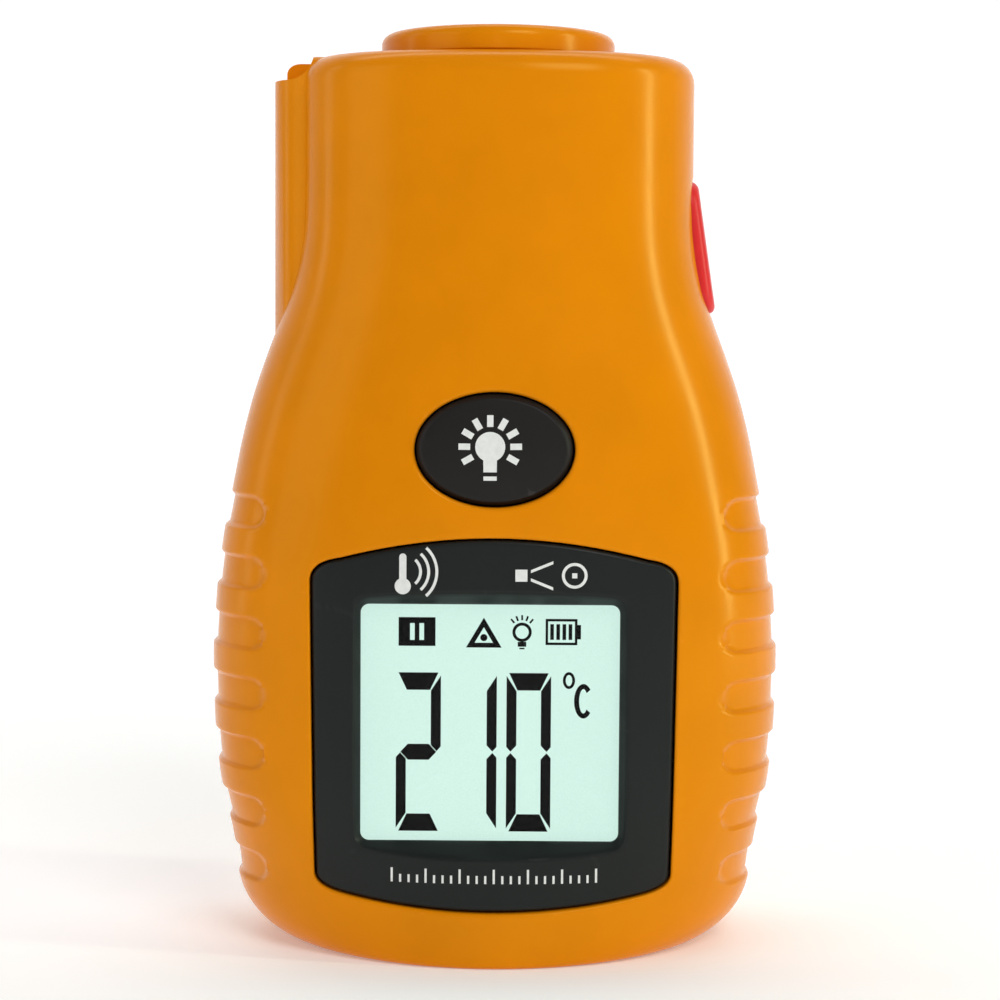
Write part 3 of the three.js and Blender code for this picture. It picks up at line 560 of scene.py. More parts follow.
def display_bezel():
    centre = np.array([SCREEN["x"], SCREEN["z"]])
    angles = circle(640)
    panel_dense = resampled(panel_curve(), 2400)

    def panel_ring(margin):
        return polar(offset_curve(panel_dense, margin), centre, angles)

    def screen_ring(margin):
        return polar(screen_curve(margin), centre, angles)

    def skin(points, inset):
        return ring_y(points, front_y(points[:, 0], points[:, 1]) + inset)

    # where the sloping surround of the screen meets the panel's face
    flare = lambda m: SEAT - 0.2 - 1.4 * m
    base, grown = screen_ring(0.0), screen_ring(1.0)
    low, high = np.zeros(len(angles)), np.full(len(angles), 1.7)
    for _ in range(18):
        middle = (low + high) / 2
        ring = base + (grown - base) * middle[:, None]
        above = flare(middle) < front_y(ring[:, 0], ring[:, 1]) + PANEL_INSET
        high = np.where(above, middle, high)
        low = np.where(above, low, middle)
    rim = base + (grown - base) * middle[:, None]
    outside_rim = base + (grown - base) * (middle + 0.22)[:, None]
    inside_rim = base + (grown - base) * np.maximum(middle - 0.16, 0.02)[:, None]

    rings = [skin(panel_ring(0.0), 3.2), skin(panel_ring(0.0), PANEL_INSET + 0.42)]
    for a in np.linspace(0.25, math.pi / 2, 5):
        rings.append(skin(panel_ring(-0.42 * (1 - math.cos(a))), PANEL_INSET + 0.42 * (1 - math.sin(a))))
    start = panel_ring(-0.42)
    for t in np.linspace(0.04, 1.0, 22):
        rings.append(skin(start + (outside_rim - start) * t, PANEL_INSET))
    rings.append(skin(rim, PANEL_INSET + 0.07))
    rings.append(ring_y(inside_rim, flare(np.maximum(middle - 0.16, 0.02))))
    for share in (0.75, 0.5, 0.25, 0.08):
        inner = base + (inside_rim - base) * share
        rings.append(ring_y(inner, flare(np.maximum(middle - 0.16, 0.02) * share)))
    rings.append(ring_y(screen_ring(0.0), SEAT - 0.12))
    rings.append(ring_y(screen_ring(0.0), SEAT))
    rings.append(ring_y(screen_ring(1.7), SEAT))
    rings.append(ring_y(screen_ring(1.7), SEAT + 1.05))
    obj = loft("display_bezel_looks", rings, closed_loop=True)
    smooth(obj, 28)
    return obj


def slab(name, curve, y_front, y_back, edge=0.15):
    """A flat plate facing -Y with a small rounded edge, from an outline in x and z."""
    rings = []
    for margin, y in ((-edge, y_back), (0, y_back - edge), (0, y_front + edge),
                      (-0.3 * edge, y_front + 0.3 * edge), (-edge, y_front)):
        rings.append(ring_y(offset_curve(curve, margin), y))
    obj = loft(name, rings)
    smooth(obj)
    return obj


def flat_shapes(name, shapes, y, thick=0.03, facing=-1):
    """Thin printed shapes, each an outline in x and z. y is a number or a function of x and z."""
    points, faces = [], []
    for shape in shapes:
        shape = np.asarray(shape, float)
        level = y(shape[:, 0], shape[:, 1]) if callable(y) else np.full(len(shape), float(y))
        area = np.sum(shape[:, 0] * np.roll(shape[:, 1], -1) - np.roll(shape[:, 0], -1) * shape[:, 1])
        if area * facing > 0:
            shape, level = shape[::-1], level[::-1]
        base, n = len(points), len(shape)
        points += np.column_stack([shape[:, 0], level, shape[:, 1]]).tolist()
        points += np.column_stack([shape[:, 0], level - facing * thick, shape[:, 1]]).tolist()
        flat = [Vector((float(px), float(pz), 0.0)) for px, pz in shape]
        for tri in tessellate_polygon([flat]):
            i, j, k = tri
            turn = ((shape[j][0] - shape[i][0]) * (shape[k][1] - shape[i][1])
                    - (shape[k][0] - shape[i][0]) * (shape[j][1] - shape[i][1]))
            if turn * facing > 0:
                i, j, k = i, k, j
            faces.append((base + i, base + j, base + k))
            faces.append((base + n + k, base + n + j, base + n + i))
        for i in range(n):
            j = (i + 1) % n
            faces.append((base + j, base + i, base + n + i, base + n + j))
    return make_object(name, points, faces, flip_check=False)


def arc_band(cx, cz, r0, r1, a0, a1, count=24):
    """A band of a ring between two angles in degrees, as one outline."""
    a = np.radians(np.linspace(a0, a1, count))
    return np.vstack([oval(cx, cz, r1, r1, a), oval(cx, cz, r0, r0, a)[::-1]])


def ring_halves(cx, cz, r0, r1):
    return [arc_band(cx, cz, r0, r1, 0, 180), arc_band(cx, cz, r0, r1, 180, 360)]


def rays(cx, cz, near, far, half, degrees):
    """Bars that point away from cx, cz."""
    centre, out = np.array([cx, cz]), []
    for a in np.radians(degrees):
        d, n = np.array([math.cos(a), math.sin(a)]), np.array([-math.sin(a), math.cos(a)])
        out.append(np.array([centre + d * near - n * half, centre + d * far - n * half,
                             centre + d * far + n * half, centre + d * near + n * half]))
    return out


def rect(x0, x1, z0, z1):
    return np.array([(x0, z0), (x1, z0), (x1, z1), (x0, z1)])


def digit_shapes(x, z, w, h, lit):
    """Segments a to g of a seven-segment digit with its lower left corner at x, z."""
    t, g, m = 1.18, 0.09, h / 2  # stroke, gap between segments, middle
    bar, mid = 1.75 * t, 0.8 * t
    s = {
        "a": [(0.3, h), (w - 0.3, h), (w - t - 0.1, h - bar), (t + 0.1, h - bar)],
        "d": [(0.3, 0), (w - 0.3, 0), (w - t - 0.1, bar), (t + 0.1, bar)],
        "g": [(t * 0.45, m), (t * 1.2, m + mid), (w - t * 1.2, m + mid), (w - t * 0.45, m),
              (w - t * 1.2, m - mid), (t * 1.2, m - mid)],
        "b": [(w, h - 0.35), (w, m + t * 0.55), (w - t * 0.42, m + g), (w - t, m + t * 0.7),
              (w - t, h - bar - 0.1)],
        "c": [(w, 0.35), (w, m - t * 0.55), (w - t * 0.42, m - g), (w - t, m - t * 0.7),
              (w - t, bar + 0.1)],
        "f": [(0, h - 0.35), (0, m + t * 0.55), (t * 0.42, m + g), (t, m + t * 0.7), (t, h - bar - 0.1)],
        "e": [(0, 0.35), (0, m - t * 0.55), (t * 0.42, m - g), (t, m - t * 0.7), (t, bar + 0.1)],
    }
    return [np.array([(x + px, z + pz) for px, pz in s[key]]) for key in lit]


def reading(x, z):
    """The figures 210, from their lower left corner."""
    h = 18.9
    shapes = digit_shapes(x, z, 5.3, h, "abged")
    shapes += digit_shapes(x + 7.0, z, 4.9, h, "bc")
    shapes += digit_shapes(x + 13.05, z, 5.25, h, "abcdef")
    return shapes


def display_content():
    """The dark shapes that the display shows: symbols, a reading and its unit."""
    shapes = []
    # hold symbol: a box with a pause sign left out of it
    x, z, w, h = -11.22, 37.7, 4.35, 3.4
    side, bar, rim = 1.35, 0.55, 0.7
    left, right = x + side, x + w - side
    shapes += [rect(x, left, z, z + h), rect(right, x + w, z, z + h), rect(left + bar, right - bar, z, z + h)]
    for start in (left, right - bar):
        shapes += [rect(start, start + bar, z, z + rim), rect(start, start + bar, z + h - rim, z + h)]
    # beam warning triangle, open in the middle
    cx, base, half, tall = -1.17, 37.55, 2.1, 3.55
    outer = np.array([(cx - half, base), (cx + half, base), (cx, base + tall)])
    centre = outer.mean(axis=0)
    inner = centre + (outer - centre) * 0.52
    for k in range(3):
        j = (k + 1) % 3
        shapes.append(np.array([outer[k], outer[j], inner[j], inner[k]]))
    shapes.append(oval(*centre, 0.42, 0.42, circle(20)))
    # lamp: a ring, a foot and rays
    cx, cz = 3.33, 39.4
    shapes += ring_halves(cx, cz, 0.78, 1.14)
    shapes.append(rect(cx - 0.5, cx + 0.5, cz - 1.72, cz - 1.14))
    shapes.append(rect(cx - 0.3, cx + 0.3, cz - 2.02, cz - 1.84))
    shapes += rays(cx, cz, 1.42, 2.02, 0.11, [50 + 20 * k for k in range(5)])
    # battery with four bars
    x, z, w, h, t = 6.1, 37.9, 3.75, 3.1, 0.3
    shapes += [rect(x, x + w, z, z + t), rect(x, x + w, z + h - t, z + h),
               rect(x, x + t, z + t, z + h - t), rect(x + w - t, x + w, z + t, z + h - t),
               rect(x + w, x + w + 0.42, z + 0.7, z + h - 0.7)]
    for k in range(4):
        shapes.append(rect(x + 0.55 + 0.72 * k, x + 0.98 + 0.72 * k, z + 0.62, z + h - 0.62))
    # reading and unit
    shapes += reading(-11.5, 15.65)
    shapes += [arc_band_oval(8.9, 33.7, 0.72, 1.0, 0.34, a0, a0 + 180) for a0 in (0, 180)]
    shapes.append(arc_band_oval(10.62, 31.25, 1.1, 2.05, 0.6, 42, 318))
    return flat_shapes("display_segments", shapes, SEAT + 1.24, 0.03)


def arc_band_oval(cx, cz, rx, rz, thick, a0, a1, count=40):
    a = np.radians(np.linspace(a0, a1, count))
    return np.vstack([oval(cx, cz, rx, rz, a), oval(cx, cz, rx - thick, rz - thick, a)[::-1]])


def panel_prints():
    """Plain marks: a thermometer with waves, a spot cone with its target, and a row of scale ticks."""
    shapes = []
    # thermometer sign with waves beside it
    x, z = -10.6, 46.2
    stem = [(x - 0.42, z - 0.4), (x + 0.42, z - 0.4)]
    shapes.append(np.vstack([arc_points(x, z + 2.3, 0.42, 0, 180), stem]))
    shapes.append(oval(x, z - 1.1, 0.95, 0.95, circle(28)))
    for k in range(3):
        r = 1.7 + 0.95 * k
        shapes.append(arc_band(x + 0.2, z + 0.6, r, r + 0.34, -48, 48, 24))
    # spot sign: a sensor with its widening cone, then a target
    shapes += [rect(2.5, 3.9, 45.75, 47.15),
               np.array([(4.3, 46.75), (6.9, 47.8), (6.9, 48.15), (4.3, 47.1)]),
               np.array([(4.3, 46.15), (6.9, 45.1), (6.9, 44.75), (4.3, 45.8)])]
    shapes += ring_halves(9.4, 46.45, 1.15, 1.5) + [rect(9.1, 9.7, 46.15, 46.75)]
    # scale ticks along the foot of the panel
    for k in range(25):
        x = -11.8 + 24.0 * k / 24
        tall = 1.7 if k % 4 == 0 else 0.95
        shapes.append(rect(x - 0.13, x + 0.13, 10.2, 10.2 + tall))
    level = lambda u, v: front_y(u, v) + PANEL_INSET - 0.02
    return flat_shapes("panel_prints", shapes, level, 0.06)


def arc_points(cx, cz, r, a0, a1, count=12):
    return oval(cx, cz, r, r, np.radians(np.linspace(a0, a1, count)))


# ---------------------------------------------------------------- controls

KEY_FACE = -19.31


def key_level(u, v):
    """y of the key's gently domed face."""
    share = np.hypot(u / KEY["rx"], (v - KEY["z"]) / KEY["rz"])
    return KEY_FACE + 0.38 * np.minimum(share, 1) ** 2.2


def backlight_key():
    rings = []
    count = 160
    steps = ((1.15, -14.6), (1.15, -15.4), (0, -15.5), (0, -18.1), (-0.06, -18.3), (-0.2, -18.45))
    for margin, y in steps:
        curve = ellipse(KEY["rx"] + margin, KEY["rz"] + margin, count)
        rings.append(ring_y(curve, y))
    for share in (0.935, 0.92, 0.9, 0.85, 0.75, 0.6, 0.45, 0.3, 0.15, 0.04):
        curve = ellipse(KEY["rx"] * share, KEY["rz"] * share, count)
        y = key_level(curve[:, 0], curve[:, 1])
        if share > 0.93:
            y = y + 0.05
        rings.append(ring_y(curve, y))
    obj = loft("backlight_key_cap", rings)
    smooth(obj, 35)
    return obj


def lamp_print():
    """A bulb with nine rays, printed on the key."""
    cx, cz, r, stem = -0.51, KEY["z"] + 0.39, 1.74, 0.77
    bulb = arc_points(cx, cz, r, -63, 243, 60)
    foot = np.array([(cx - stem, cz - 2.94), (cx + stem, cz - 2.94)])
    shapes = [np.vstack([bulb, foot]), rect(cx - stem, cx + stem, cz - 3.91, cz - 3.42)]
    shapes += rays(cx, cz, 2.32, 3.68, 0.37, [-29 + 29.8 * k for k in range(9)])
    level = lambda u, v: key_level(u, v) - 0.03
    return flat_shapes("lamp_print", shapes, level, 0.05)


def trigger_cap():
    low, high = TRIGGER["low"], TRIGGER["high"]
    middle = (low + high) / 2

    def face(y, z):
        lean = TRIGGER["face"] + (middle - z) * TRIGGER["slope"]
        return lean - (20 - np.sqrt(400 - y ** 2)) - 0.03

    base = resampled(trigger_curve(0.0, 24), 200)
    grown = resampled(trigger_curve(1.1, 24), 200)
    rings = [np.column_stack([np.full(200, 19.42), grown]), np.column_stack([np.full(200, 20.35), grown]),
             np.column_stack([np.full(200, 20.4), base]), np.column_stack([np.full(200, 22.5), base])]
    radius = 1.05
    for a in np.linspace(0, math.pi / 2, 9):
        ring = offset_curve(base, -radius * (1 - math.cos(a)))
        x = face(ring[:, 0], ring[:, 1]) - radius * (1 - math.sin(a))
        rings.append(np.column_stack([x, ring]))
    rim = offset_curve(base, -radius)
    for share in (0.85, 0.7, 0.5, 0.3, 0.1):
        ring = np.array([0, middle]) + (rim - np.array([0, middle])) * share
        rings.append(np.column_stack([face(ring[:, 0], ring[:, 1]), ring]))
    obj = loft("trigger_cap", rings)
    smooth(obj, 35)
    return obj


# ---------------------------------------------------------------- battery bay and door

def battery_door():
    d = DOOR
    middle = np.array([0, (d["low"] + d["high"]) / 2])
    curve = resampled(rounded_rect(2 * d["half"], d["high"] - d["low"], d["corner"], 16) + middle, 360)
    inner, back = BACK - d["thick"], BACK
    rings = []
    steps = ((0, inner), (0, back - 0.35), (-0.03, back - 0.2), (-0.12, back - 0.07), (-0.3, back))
    for margin, y in steps:
        rings.append(ring_y(offset_curve(curve, margin), y))
    obj = loft("battery_door_looks", rings)
    for x in (-9.4, 9.4):
        low = d["low"]
        join(obj, box("root", x - 1.5, x + 1.5, inner - 1.7, inner + 0.5, low + 0.6, low + 2.6))
        join(obj, box("tab", x - 1.49, x + 1.49, inner - 1.69, inner - 0.4, low - 2.1, low + 2.55))
    join(obj, box("pad", -3.5, 3.5, inner - 1.1, inner + 0.5, d["high"] - 2.6, d["high"] - 1.1))
    for k in range(4):
        z = d["high"] - 5.6 - 1.8 * k
        cut(obj, groove("ridge", 5.6, z, 0.42, 0.36))
    flat_back = lambda u, v: np.full(len(u), BACK)
    cut(obj, rim_cutter("bed", label_curve(0.15, 1.0), flat_back, 1, BACK - 0.3, 0.06))
    smooth(obj, 32)
    return obj


def groove(name, half, z, half_tall, deep):
    """A dished groove across the door, with round ends."""
    rings = []
    steps = ((0.25, BACK - deep), (0.7, BACK - 0.75 * deep), (0.95, BACK - 0.3 * deep), (1.0, BACK),
             (1.0, BACK + 1))
    for share, y in steps:
        tall = half_tall * share
        curve = rounded_rect(2 * (half - half_tall * (1 - share)), 2 * tall, tall * 0.999, 8)
        rings.append(ring_y(curve + np.array([0, z]), y))
    return loft(name, rings)


def label_curve(margin, corner):
    outline = rounded_rect(LABEL["w"] + 2 * margin, LABEL["h"] + 2 * margin, corner, 10)
    return resampled(outline + np.array([0, LABEL["z"]]), 240)


def door_label():
    curve = label_curve(0.0, LABEL["corner"])
    rings = []
    for margin, y in ((0, BACK - 0.27), (0, BACK - 0.08), (-0.05, BACK - 0.02)):
        rings.append(ring_y(offset_curve(curve, margin), y))
    obj = loft("door_label_plate", rings)
    smooth(obj)
    return obj


def label_prints():
    """Cell outlines with their poles, and the spot cone of the sensor, on the door's label."""
    shapes = []
    for side, up in ((-1, True), (1, False)):
        x = side * -3.2
        low, high, half, t = 29.0, 37.6, 1.5, 0.22
        shapes += [rect(x - half, x - half + t, low, high), rect(x + half - t, x + half, low, high),
                   rect(x - half + t, x + half - t, low, low + t),
                   rect(x - half + t, x + half - t, high - t, high)]
        end = high if up else low
        tip = 0.6 if up else -0.6
        shapes.append(rect(x - 0.6, x + 0.6, min(end, end + tip), max(end, end + tip)))
        plus, minus = (high - 1.6, low + 1.5) if up else (low + 1.6, high - 1.5)
        arm, thin = 0.6, 0.13
        shapes += [rect(x - arm, x + arm, plus - thin, plus + thin),
                   rect(x - thin, x + thin, plus + thin, plus + arm),
                   rect(x - thin, x + thin, plus - arm, plus - thin),
                   rect(x - arm, x + arm, minus - thin, minus + thin)]
    # cone of view
    shapes += [np.array([(-7.4, 22.9), (7.2, 25.1), (7.2, 25.3), (-7.4, 23.1)]),
               np.array([(-7.4, 22.1), (7.2, 19.7), (7.2, 19.5), (-7.4, 21.9)]),
               rect(-8.4, -7.4, 21.4, 23.6)]
    for k in range(8):
        x = -5.4 + 1.8 * k
        shapes.append(rect(x - 0.09, x + 0.09, 17.6, 18.4 + (0.5 if k % 2 else 0)))
    shapes.append(rect(-7.4, 7.4, 17.4, 17.6))
    mirrored = [shape * np.array([-1, 1]) for shape in shapes]
    return flat_shapes("label_prints", mirrored, BACK - 0.012, 0.04, facing=1)


def cell(name, x, low, up):
    """An AAA cell: steel ends, a shrunk film over the side and a collar of film over each edge."""
    r, length = CELL["r"], CELL["length"]
    wrap = [(0, 0.12), (3.6, 0.12), (3.75, 0.1), (3.9, 0.02), (r - 0.5, 0.0), (r - 0.2, 0.08),
            (r - 0.05, 0.3), (r - 0.02, 0.8), (r - 0.02, length - 2.6), (r - 0.06, length - 2.0),
            (r - 0.3, length - 1.45),
            (r - 0.6, length - 1.22), (3.5, length - 1.14), (3.35, length - 1.2), (3.3, length - 1.3),
            (2.3, length - 1.32), (2.0, length - 1.25), (1.9, length - 1.1), (1.86, length - 0.3),
            (1.7, length - 0.06), (1.5, length - 0.01), (0, length)]
    if not up:
        wrap = [(p, length - q) for p, q in reversed(wrap)]
    obj = revolve(name, [(p, low + q) for p, q in wrap], (x, CELL["y"]), 96)
    for polygon in obj.data.polygons:
        c = polygon.center / MM
        q = (c.z - low) if up else (length - (c.z - low))
        radius = math.hypot(c.x - x, c.y - CELL["y"])
        polygon.material_index = 0 if radius > 3.55 and 0.0 <= q <= length - 1.1 else 1
    smooth(obj, 40)
    return obj


def coil_spring(name, x, wide, narrow):
    """A conical contact spring with closed end turns, swept as one tube."""
    wire, per_turn, turns = 0.33, 36, 4.6
    count = int(turns * per_turn)
    t = np.linspace(0, 1, count)
    radius = 3.7 - 1.3 * t
    angle = t * turns * 2 * np.pi
    lead = smoothstep((t - 0.14) / 0.72)
    z = wide + (narrow - wide) * lead
    path = np.column_stack([x + radius * np.cos(angle), CELL["y"] + radius * np.sin(angle), z])
    return tube(name, path, wire)


def tube(name, path, radius, sides=12):
    path = np.asarray(path, float)
    tangent = np.gradient(path, axis=0)
    tangent /= np.linalg.norm(tangent, axis=1)[:, None]
    up = np.array([0.0, 0.0, 1.0]) if abs(tangent[0][2]) < 0.9 else np.array([1.0, 0.0, 0.0])
    side = np.cross(tangent[0], up)
    side /= np.linalg.norm(side)
    rings = []
    for p, t in zip(path, tangent):
        side = side - t * np.dot(side, t)
        side /= np.linalg.norm(side)
        other = np.cross(t, side)
        a = circle(sides)[:, None]
        rings.append(p + radius * (np.cos(a) * side + np.sin(a) * other))
    obj = loft(name, rings)
    smooth(obj, 50)
    return obj


# ---------------------------------------------------------------- materials

def srgb(r, g, b):
    """Linear colour from 8-bit display values."""
    shares = (r / 255, g / 255, b / 255)
    return (*[v / 12.92 if v <= 0.04045 else ((v + 0.055) / 1.055) ** 2.4 for v in shares], 1.0)


class Nodes:
    """Short names for building a node tree."""

    def __init__(self, name):
        self.material = bpy.data.materials.new(name)
        self.material.use_nodes = True
        self.tree = self.material.node_tree
        self.shader = self.tree.nodes["Principled BSDF"]
        self.place = self.add("ShaderNodeTexCoord").outputs["Object"]

    def add(self, kind, **values):
        node = self.tree.nodes.new(kind)
        for key, value in values.items():
            if hasattr(node, key):
                setattr(node, key, value)
            else:
                node.inputs[key.replace("_", " ")].default_value = value
        return node

    def link(self, a, b):
        self.tree.links.new(a, b)

    def set(self, socket, value):
        self.shader.inputs[socket].default_value = value

    def feed(self, socket, output):
        self.link(output, self.shader.inputs[socket])

    def noise(self, scale, detail=2.0, rough=0.5):
        node = self.add("ShaderNodeTexNoise", Scale=scale, Detail=detail, Roughness=rough)
        self.link(self.place, node.inputs["Vector"])
        return node.outputs["Fac"]

    def remap(self, value, a, b, c, d):
        node = self.add("ShaderNodeMapRange", From_Min=a, From_Max=b, To_Min=c, To_Max=d)
        self.link(value, node.inputs["Value"])
        return node.outputs["Result"]

    def mix(self, fac, a, b):
        node = self.add("ShaderNodeMix", data_type="RGBA")
        for socket, value in ((node.inputs[6], a), (node.inputs[7], b)):
            if hasattr(value, "is_output"):
                self.link(value, socket)
            else:
                socket.default_value = value
        self.link(fac, node.inputs["Factor"])
        return node.outputs[2]

    def bump(self, height, strength, distance):
        node = self.add("ShaderNodeBump", Strength=strength, Distance=distance)
        self.link(height, node.inputs["Height"])
        return node.outputs["Normal"]


def moulded(name, colour, rough=0.4, grain=0.00018, depth=0.000006, vary=0.04, coat=0.0, wear=0.25,
            level=0.5, tint=(1.0, 1.0, 1.0, 1.0)):
    """Moulded plastic: a spark-eroded grain, faint mottling, handling shine and paler worn edges."""
    n = Nodes(name)
    dark = tuple(c * (1 - vary) for c in colour[:3]) + (1.0,)
    light = tuple(min(c * (1 + vary), 1) for c in colour[:3]) + (1.0,)
    mottled = n.mix(n.remap(n.noise(90.0, 3.0), 0.3, 0.7, 0, 1), dark, light)
    worn = tuple(min(c * 1.25 + 0.03, 1) for c in colour[:3]) + (1.0,)
    ridge = n.add("ShaderNodeNewGeometry").outputs["Pointiness"]
    edge = n.remap(ridge, 0.53, 0.62, 0, wear)
    n.feed("Base Color", n.mix(edge, mottled, worn))
    smudge = n.noise(55.0, 4.0, 0.62)
    n.feed("Roughness", n.remap(smudge, 0.25, 0.75, rough - 0.04, rough + 0.06))
    fine = n.noise(1 / grain, 2.0, 0.5)
    n.feed("Normal", n.bump(fine, 0.55, depth))
    n.set("Coat Weight", coat)
    n.set("Coat Roughness", 0.12)
    n.set("IOR", 1.5)
    n.set("Specular IOR Level", level)
    n.set("Specular Tint", tint)
    return n.material


def metal(name, colour, rough=0.3):
    """Drawn or turned metal with fine directional lines and small stains."""
    n = Nodes(name)
    mapping = n.add("ShaderNodeMapping")
    mapping.inputs["Scale"].default_value = (1, 1, 30)
    n.link(n.place, mapping.inputs["Vector"])
    lines = n.add("ShaderNodeTexNoise", Scale=900.0, Detail=3.0)
    n.link(mapping.outputs["Vector"], lines.inputs["Vector"])
    stain = n.noise(260.0, 3.0)
    stained = tuple(c * 0.72 for c in colour[:3]) + (1.0,)
    n.feed("Base Color", n.mix(n.remap(stain, 0.35, 0.7, 0, 0.5), colour, stained))
    n.feed("Roughness", n.remap(lines.outputs["Fac"], 0.3, 0.7, rough - 0.08, rough + 0.1))
    n.feed("Normal", n.bump(lines.outputs["Fac"], 0.3, 0.000004))
    n.set("Metallic", 1.0)
    return n.material


def circuit_board(name):
    """Green solder mask over darker tracks."""
    n = Nodes(name)
    brick = n.add("ShaderNodeTexBrick", Scale=420.0, offset=0.37, squash=0.7)
    brick.inputs["Color1"].default_value = srgb(20, 84, 44)
    brick.inputs["Color2"].default_value = srgb(26, 98, 52)
    brick.inputs["Mortar"].default_value = srgb(58, 132, 70)
    brick.inputs["Mortar Size"].default_value = 0.06
    turn = n.add("ShaderNodeMapping")
    turn.inputs["Rotation"].default_value = (math.radians(90), 0, 0)
    n.link(n.place, turn.inputs["Vector"])
    n.link(turn.outputs["Vector"], brick.inputs["Vector"])
    n.feed("Base Color", brick.outputs["Color"])
    n.feed("Roughness", n.remap(n.noise(300.0), 0.3, 0.7, 0.28, 0.42))
    n.feed("Normal", n.bump(brick.outputs["Fac"], 0.4, 0.00003))
    return n.material


def clear_plastic(name, alpha, shade):
    n = Nodes(name)
    cool, warm = (shade * 0.96, shade, shade * 0.98, 1), (shade, shade * 1.05, shade * 1.02, 1)
    n.feed("Base Color", n.mix(n.noise(40.0), cool, warm))
    n.feed("Roughness", n.remap(n.noise(120.0, 4.0), 0.3, 0.7, 0.03, 0.09))
    n.set("Alpha", alpha)
    n.set("IOR", 1.49)
    return n.material


def display_cell(name):
    """The pale face of the liquid crystal display, whose glow stands for its backlight and is made strong
    enough to paint out the shade of the recess around the screen.
    """
    n = Nodes(name)
    fine = n.add("ShaderNodeTexNoise", Scale=9000.0, Detail=1.0)
    n.link(n.place, fine.inputs["Vector"])
    blend = n.remap(fine.outputs["Fac"], 0.3, 0.7, 0, 1)
    n.feed("Base Color", n.mix(blend, srgb(90, 105, 100), srgb(94, 110, 104)))
    # painted light: the emission is the backlight's glow, turned up with a darker base so that it washes out
    # the shade the recess casts on the screen's edges
    n.feed("Emission Color", n.mix(blend, srgb(210, 243, 231), srgb(217, 248, 237)))
    n.set("Emission Strength", 0.94)
    n.set("Specular IOR Level", 0.15)
    n.feed("Roughness", n.remap(n.noise(150.0), 0.3, 0.7, 0.3, 0.4))
    return n.material


def printed(name, colour):
    """Pad-printed ink with a slightly uneven film."""
    n = Nodes(name)
    film = n.noise(1400.0, 3.0)
    thin = tuple(c * 0.9 for c in colour[:3]) + (1.0,)
    n.feed("Base Color", n.mix(n.remap(film, 0.3, 0.7, 0, 1), thin, colour))
    n.feed("Roughness", n.remap(film, 0.3, 0.7, 0.44, 0.56))
    n.feed("Normal", n.bump(film, 0.3, 0.000004))
    n.set("Specular IOR Level", 0.12)
    return n.material


def lens_material(name):
    """A dark germanium-like infrared lens with a thin-film tint."""
    n = Nodes(name)
    weight = n.add("ShaderNodeLayerWeight", Blend=0.35)
    n.feed("Base Color", n.mix(weight.outputs["Facing"], srgb(48, 44, 58), srgb(104, 84, 70)))
    n.feed("Roughness", n.remap(n.noise(200.0), 0.3, 0.7, 0.08, 0.14))
    n.set("Metallic", 0.7)
    n.set("Coat Weight", 0.6)
    return n.material


def materials():
    return {
        "orange": moulded("orange_plastic", (0.79, 0.246, 0.002, 1.0), rough=0.2, level=0.24,
                          tint=(1.0, 0.92, 0.25, 1.0), wear=0.12),
        "panel": moulded("panel_plastic", srgb(27, 31, 30), rough=0.34, vary=0.05, wear=0.1, level=0.2),
        "key": moulded("key_rubber", srgb(26, 24, 23), rough=0.42, vary=0.08, wear=0.5, level=0.22),
        "red": moulded("trigger_plastic", srgb(222, 34, 34), rough=0.36, vary=0.05, level=0.35),
        "white": moulded("white_plastic", srgb(232, 232, 226), rough=0.5),
        "black": moulded("black_plastic", srgb(30, 31, 32), rough=0.5, vary=0.1),
        "rubber": moulded("black_rubber", srgb(26, 26, 27), rough=0.7, grain=0.0004, vary=0.1, wear=0.1),
        "grey": moulded("switch_plastic", srgb(84, 86, 90), rough=0.5),
        "film": moulded("ribbon_film", srgb(186, 116, 52), rough=0.35),
        "wire_red": moulded("red_insulation", srgb(186, 30, 28), rough=0.4),
        "wire_black": moulded("black_insulation", srgb(28, 28, 29), rough=0.4),
        "wrap": moulded("cell_film", srgb(44, 92, 140), rough=0.28, coat=0.3, grain=0.0006),
        "label": moulded("label_film", srgb(206, 209, 210), rough=0.4, wear=0.1),
        "steel": metal("nickelled_steel", (0.66, 0.65, 0.63, 1)),
        "satin": metal("satin_ring", (0.3, 0.3, 0.31, 1), rough=0.42),
        "brass": metal("turned_brass", (0.74, 0.53, 0.24, 1), rough=0.32),
        "board": circuit_board("circuit_board"),
        "clear": clear_plastic("clear_acrylic", 0.04, 0.03),
        "guide": clear_plastic("light_guide_acrylic", 0.35, 0.93),
        "lcd": display_cell("display_face"),
        "ink": printed("display_dark", srgb(7, 8, 8)),
        "white_ink": printed("white_ink", srgb(236, 238, 236)),
        "grey_ink": printed("dark_ink", srgb(50, 52, 56)),
        "lens": lens_material("infrared_lens"),
    }


CARRIED = {
    "white": "lcd_holder backlight_led_left backlight_led_right",
    "guide": "light_guide",
    "rubber": "zebra_strip laser_sleeve",
    "board": "main_board sensor_board",
    "black": "microcontroller amplifier_chip backlight_plunger trigger_plunger",
    "grey": "backlight_switch trigger_switch",
    "steel": "crystal filter_capacitor thermopile bridge_contact positive_contact negative_contact",
    "satin": "lens_ring",
    "film": "sensor_ribbon",
    "brass": "laser_barrel",
    "clear": "laser_window",
    "wire_red": "laser_lead_positive battery_lead_positive",
    "wire_black": "laser_lead_negative battery_lead_negative",
}


# ---------------------------------------------------------------- putting it together

def place(obj, looks, body, node, slot):
    """Give a piece its materials and body and, where it stands for a CAD node, hide that node; slot is not
    used.
    """
    obj.data.materials.clear()
    for material in looks:
        obj.data.materials.append(material)
    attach(obj, body)
    if node:
        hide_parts(node)


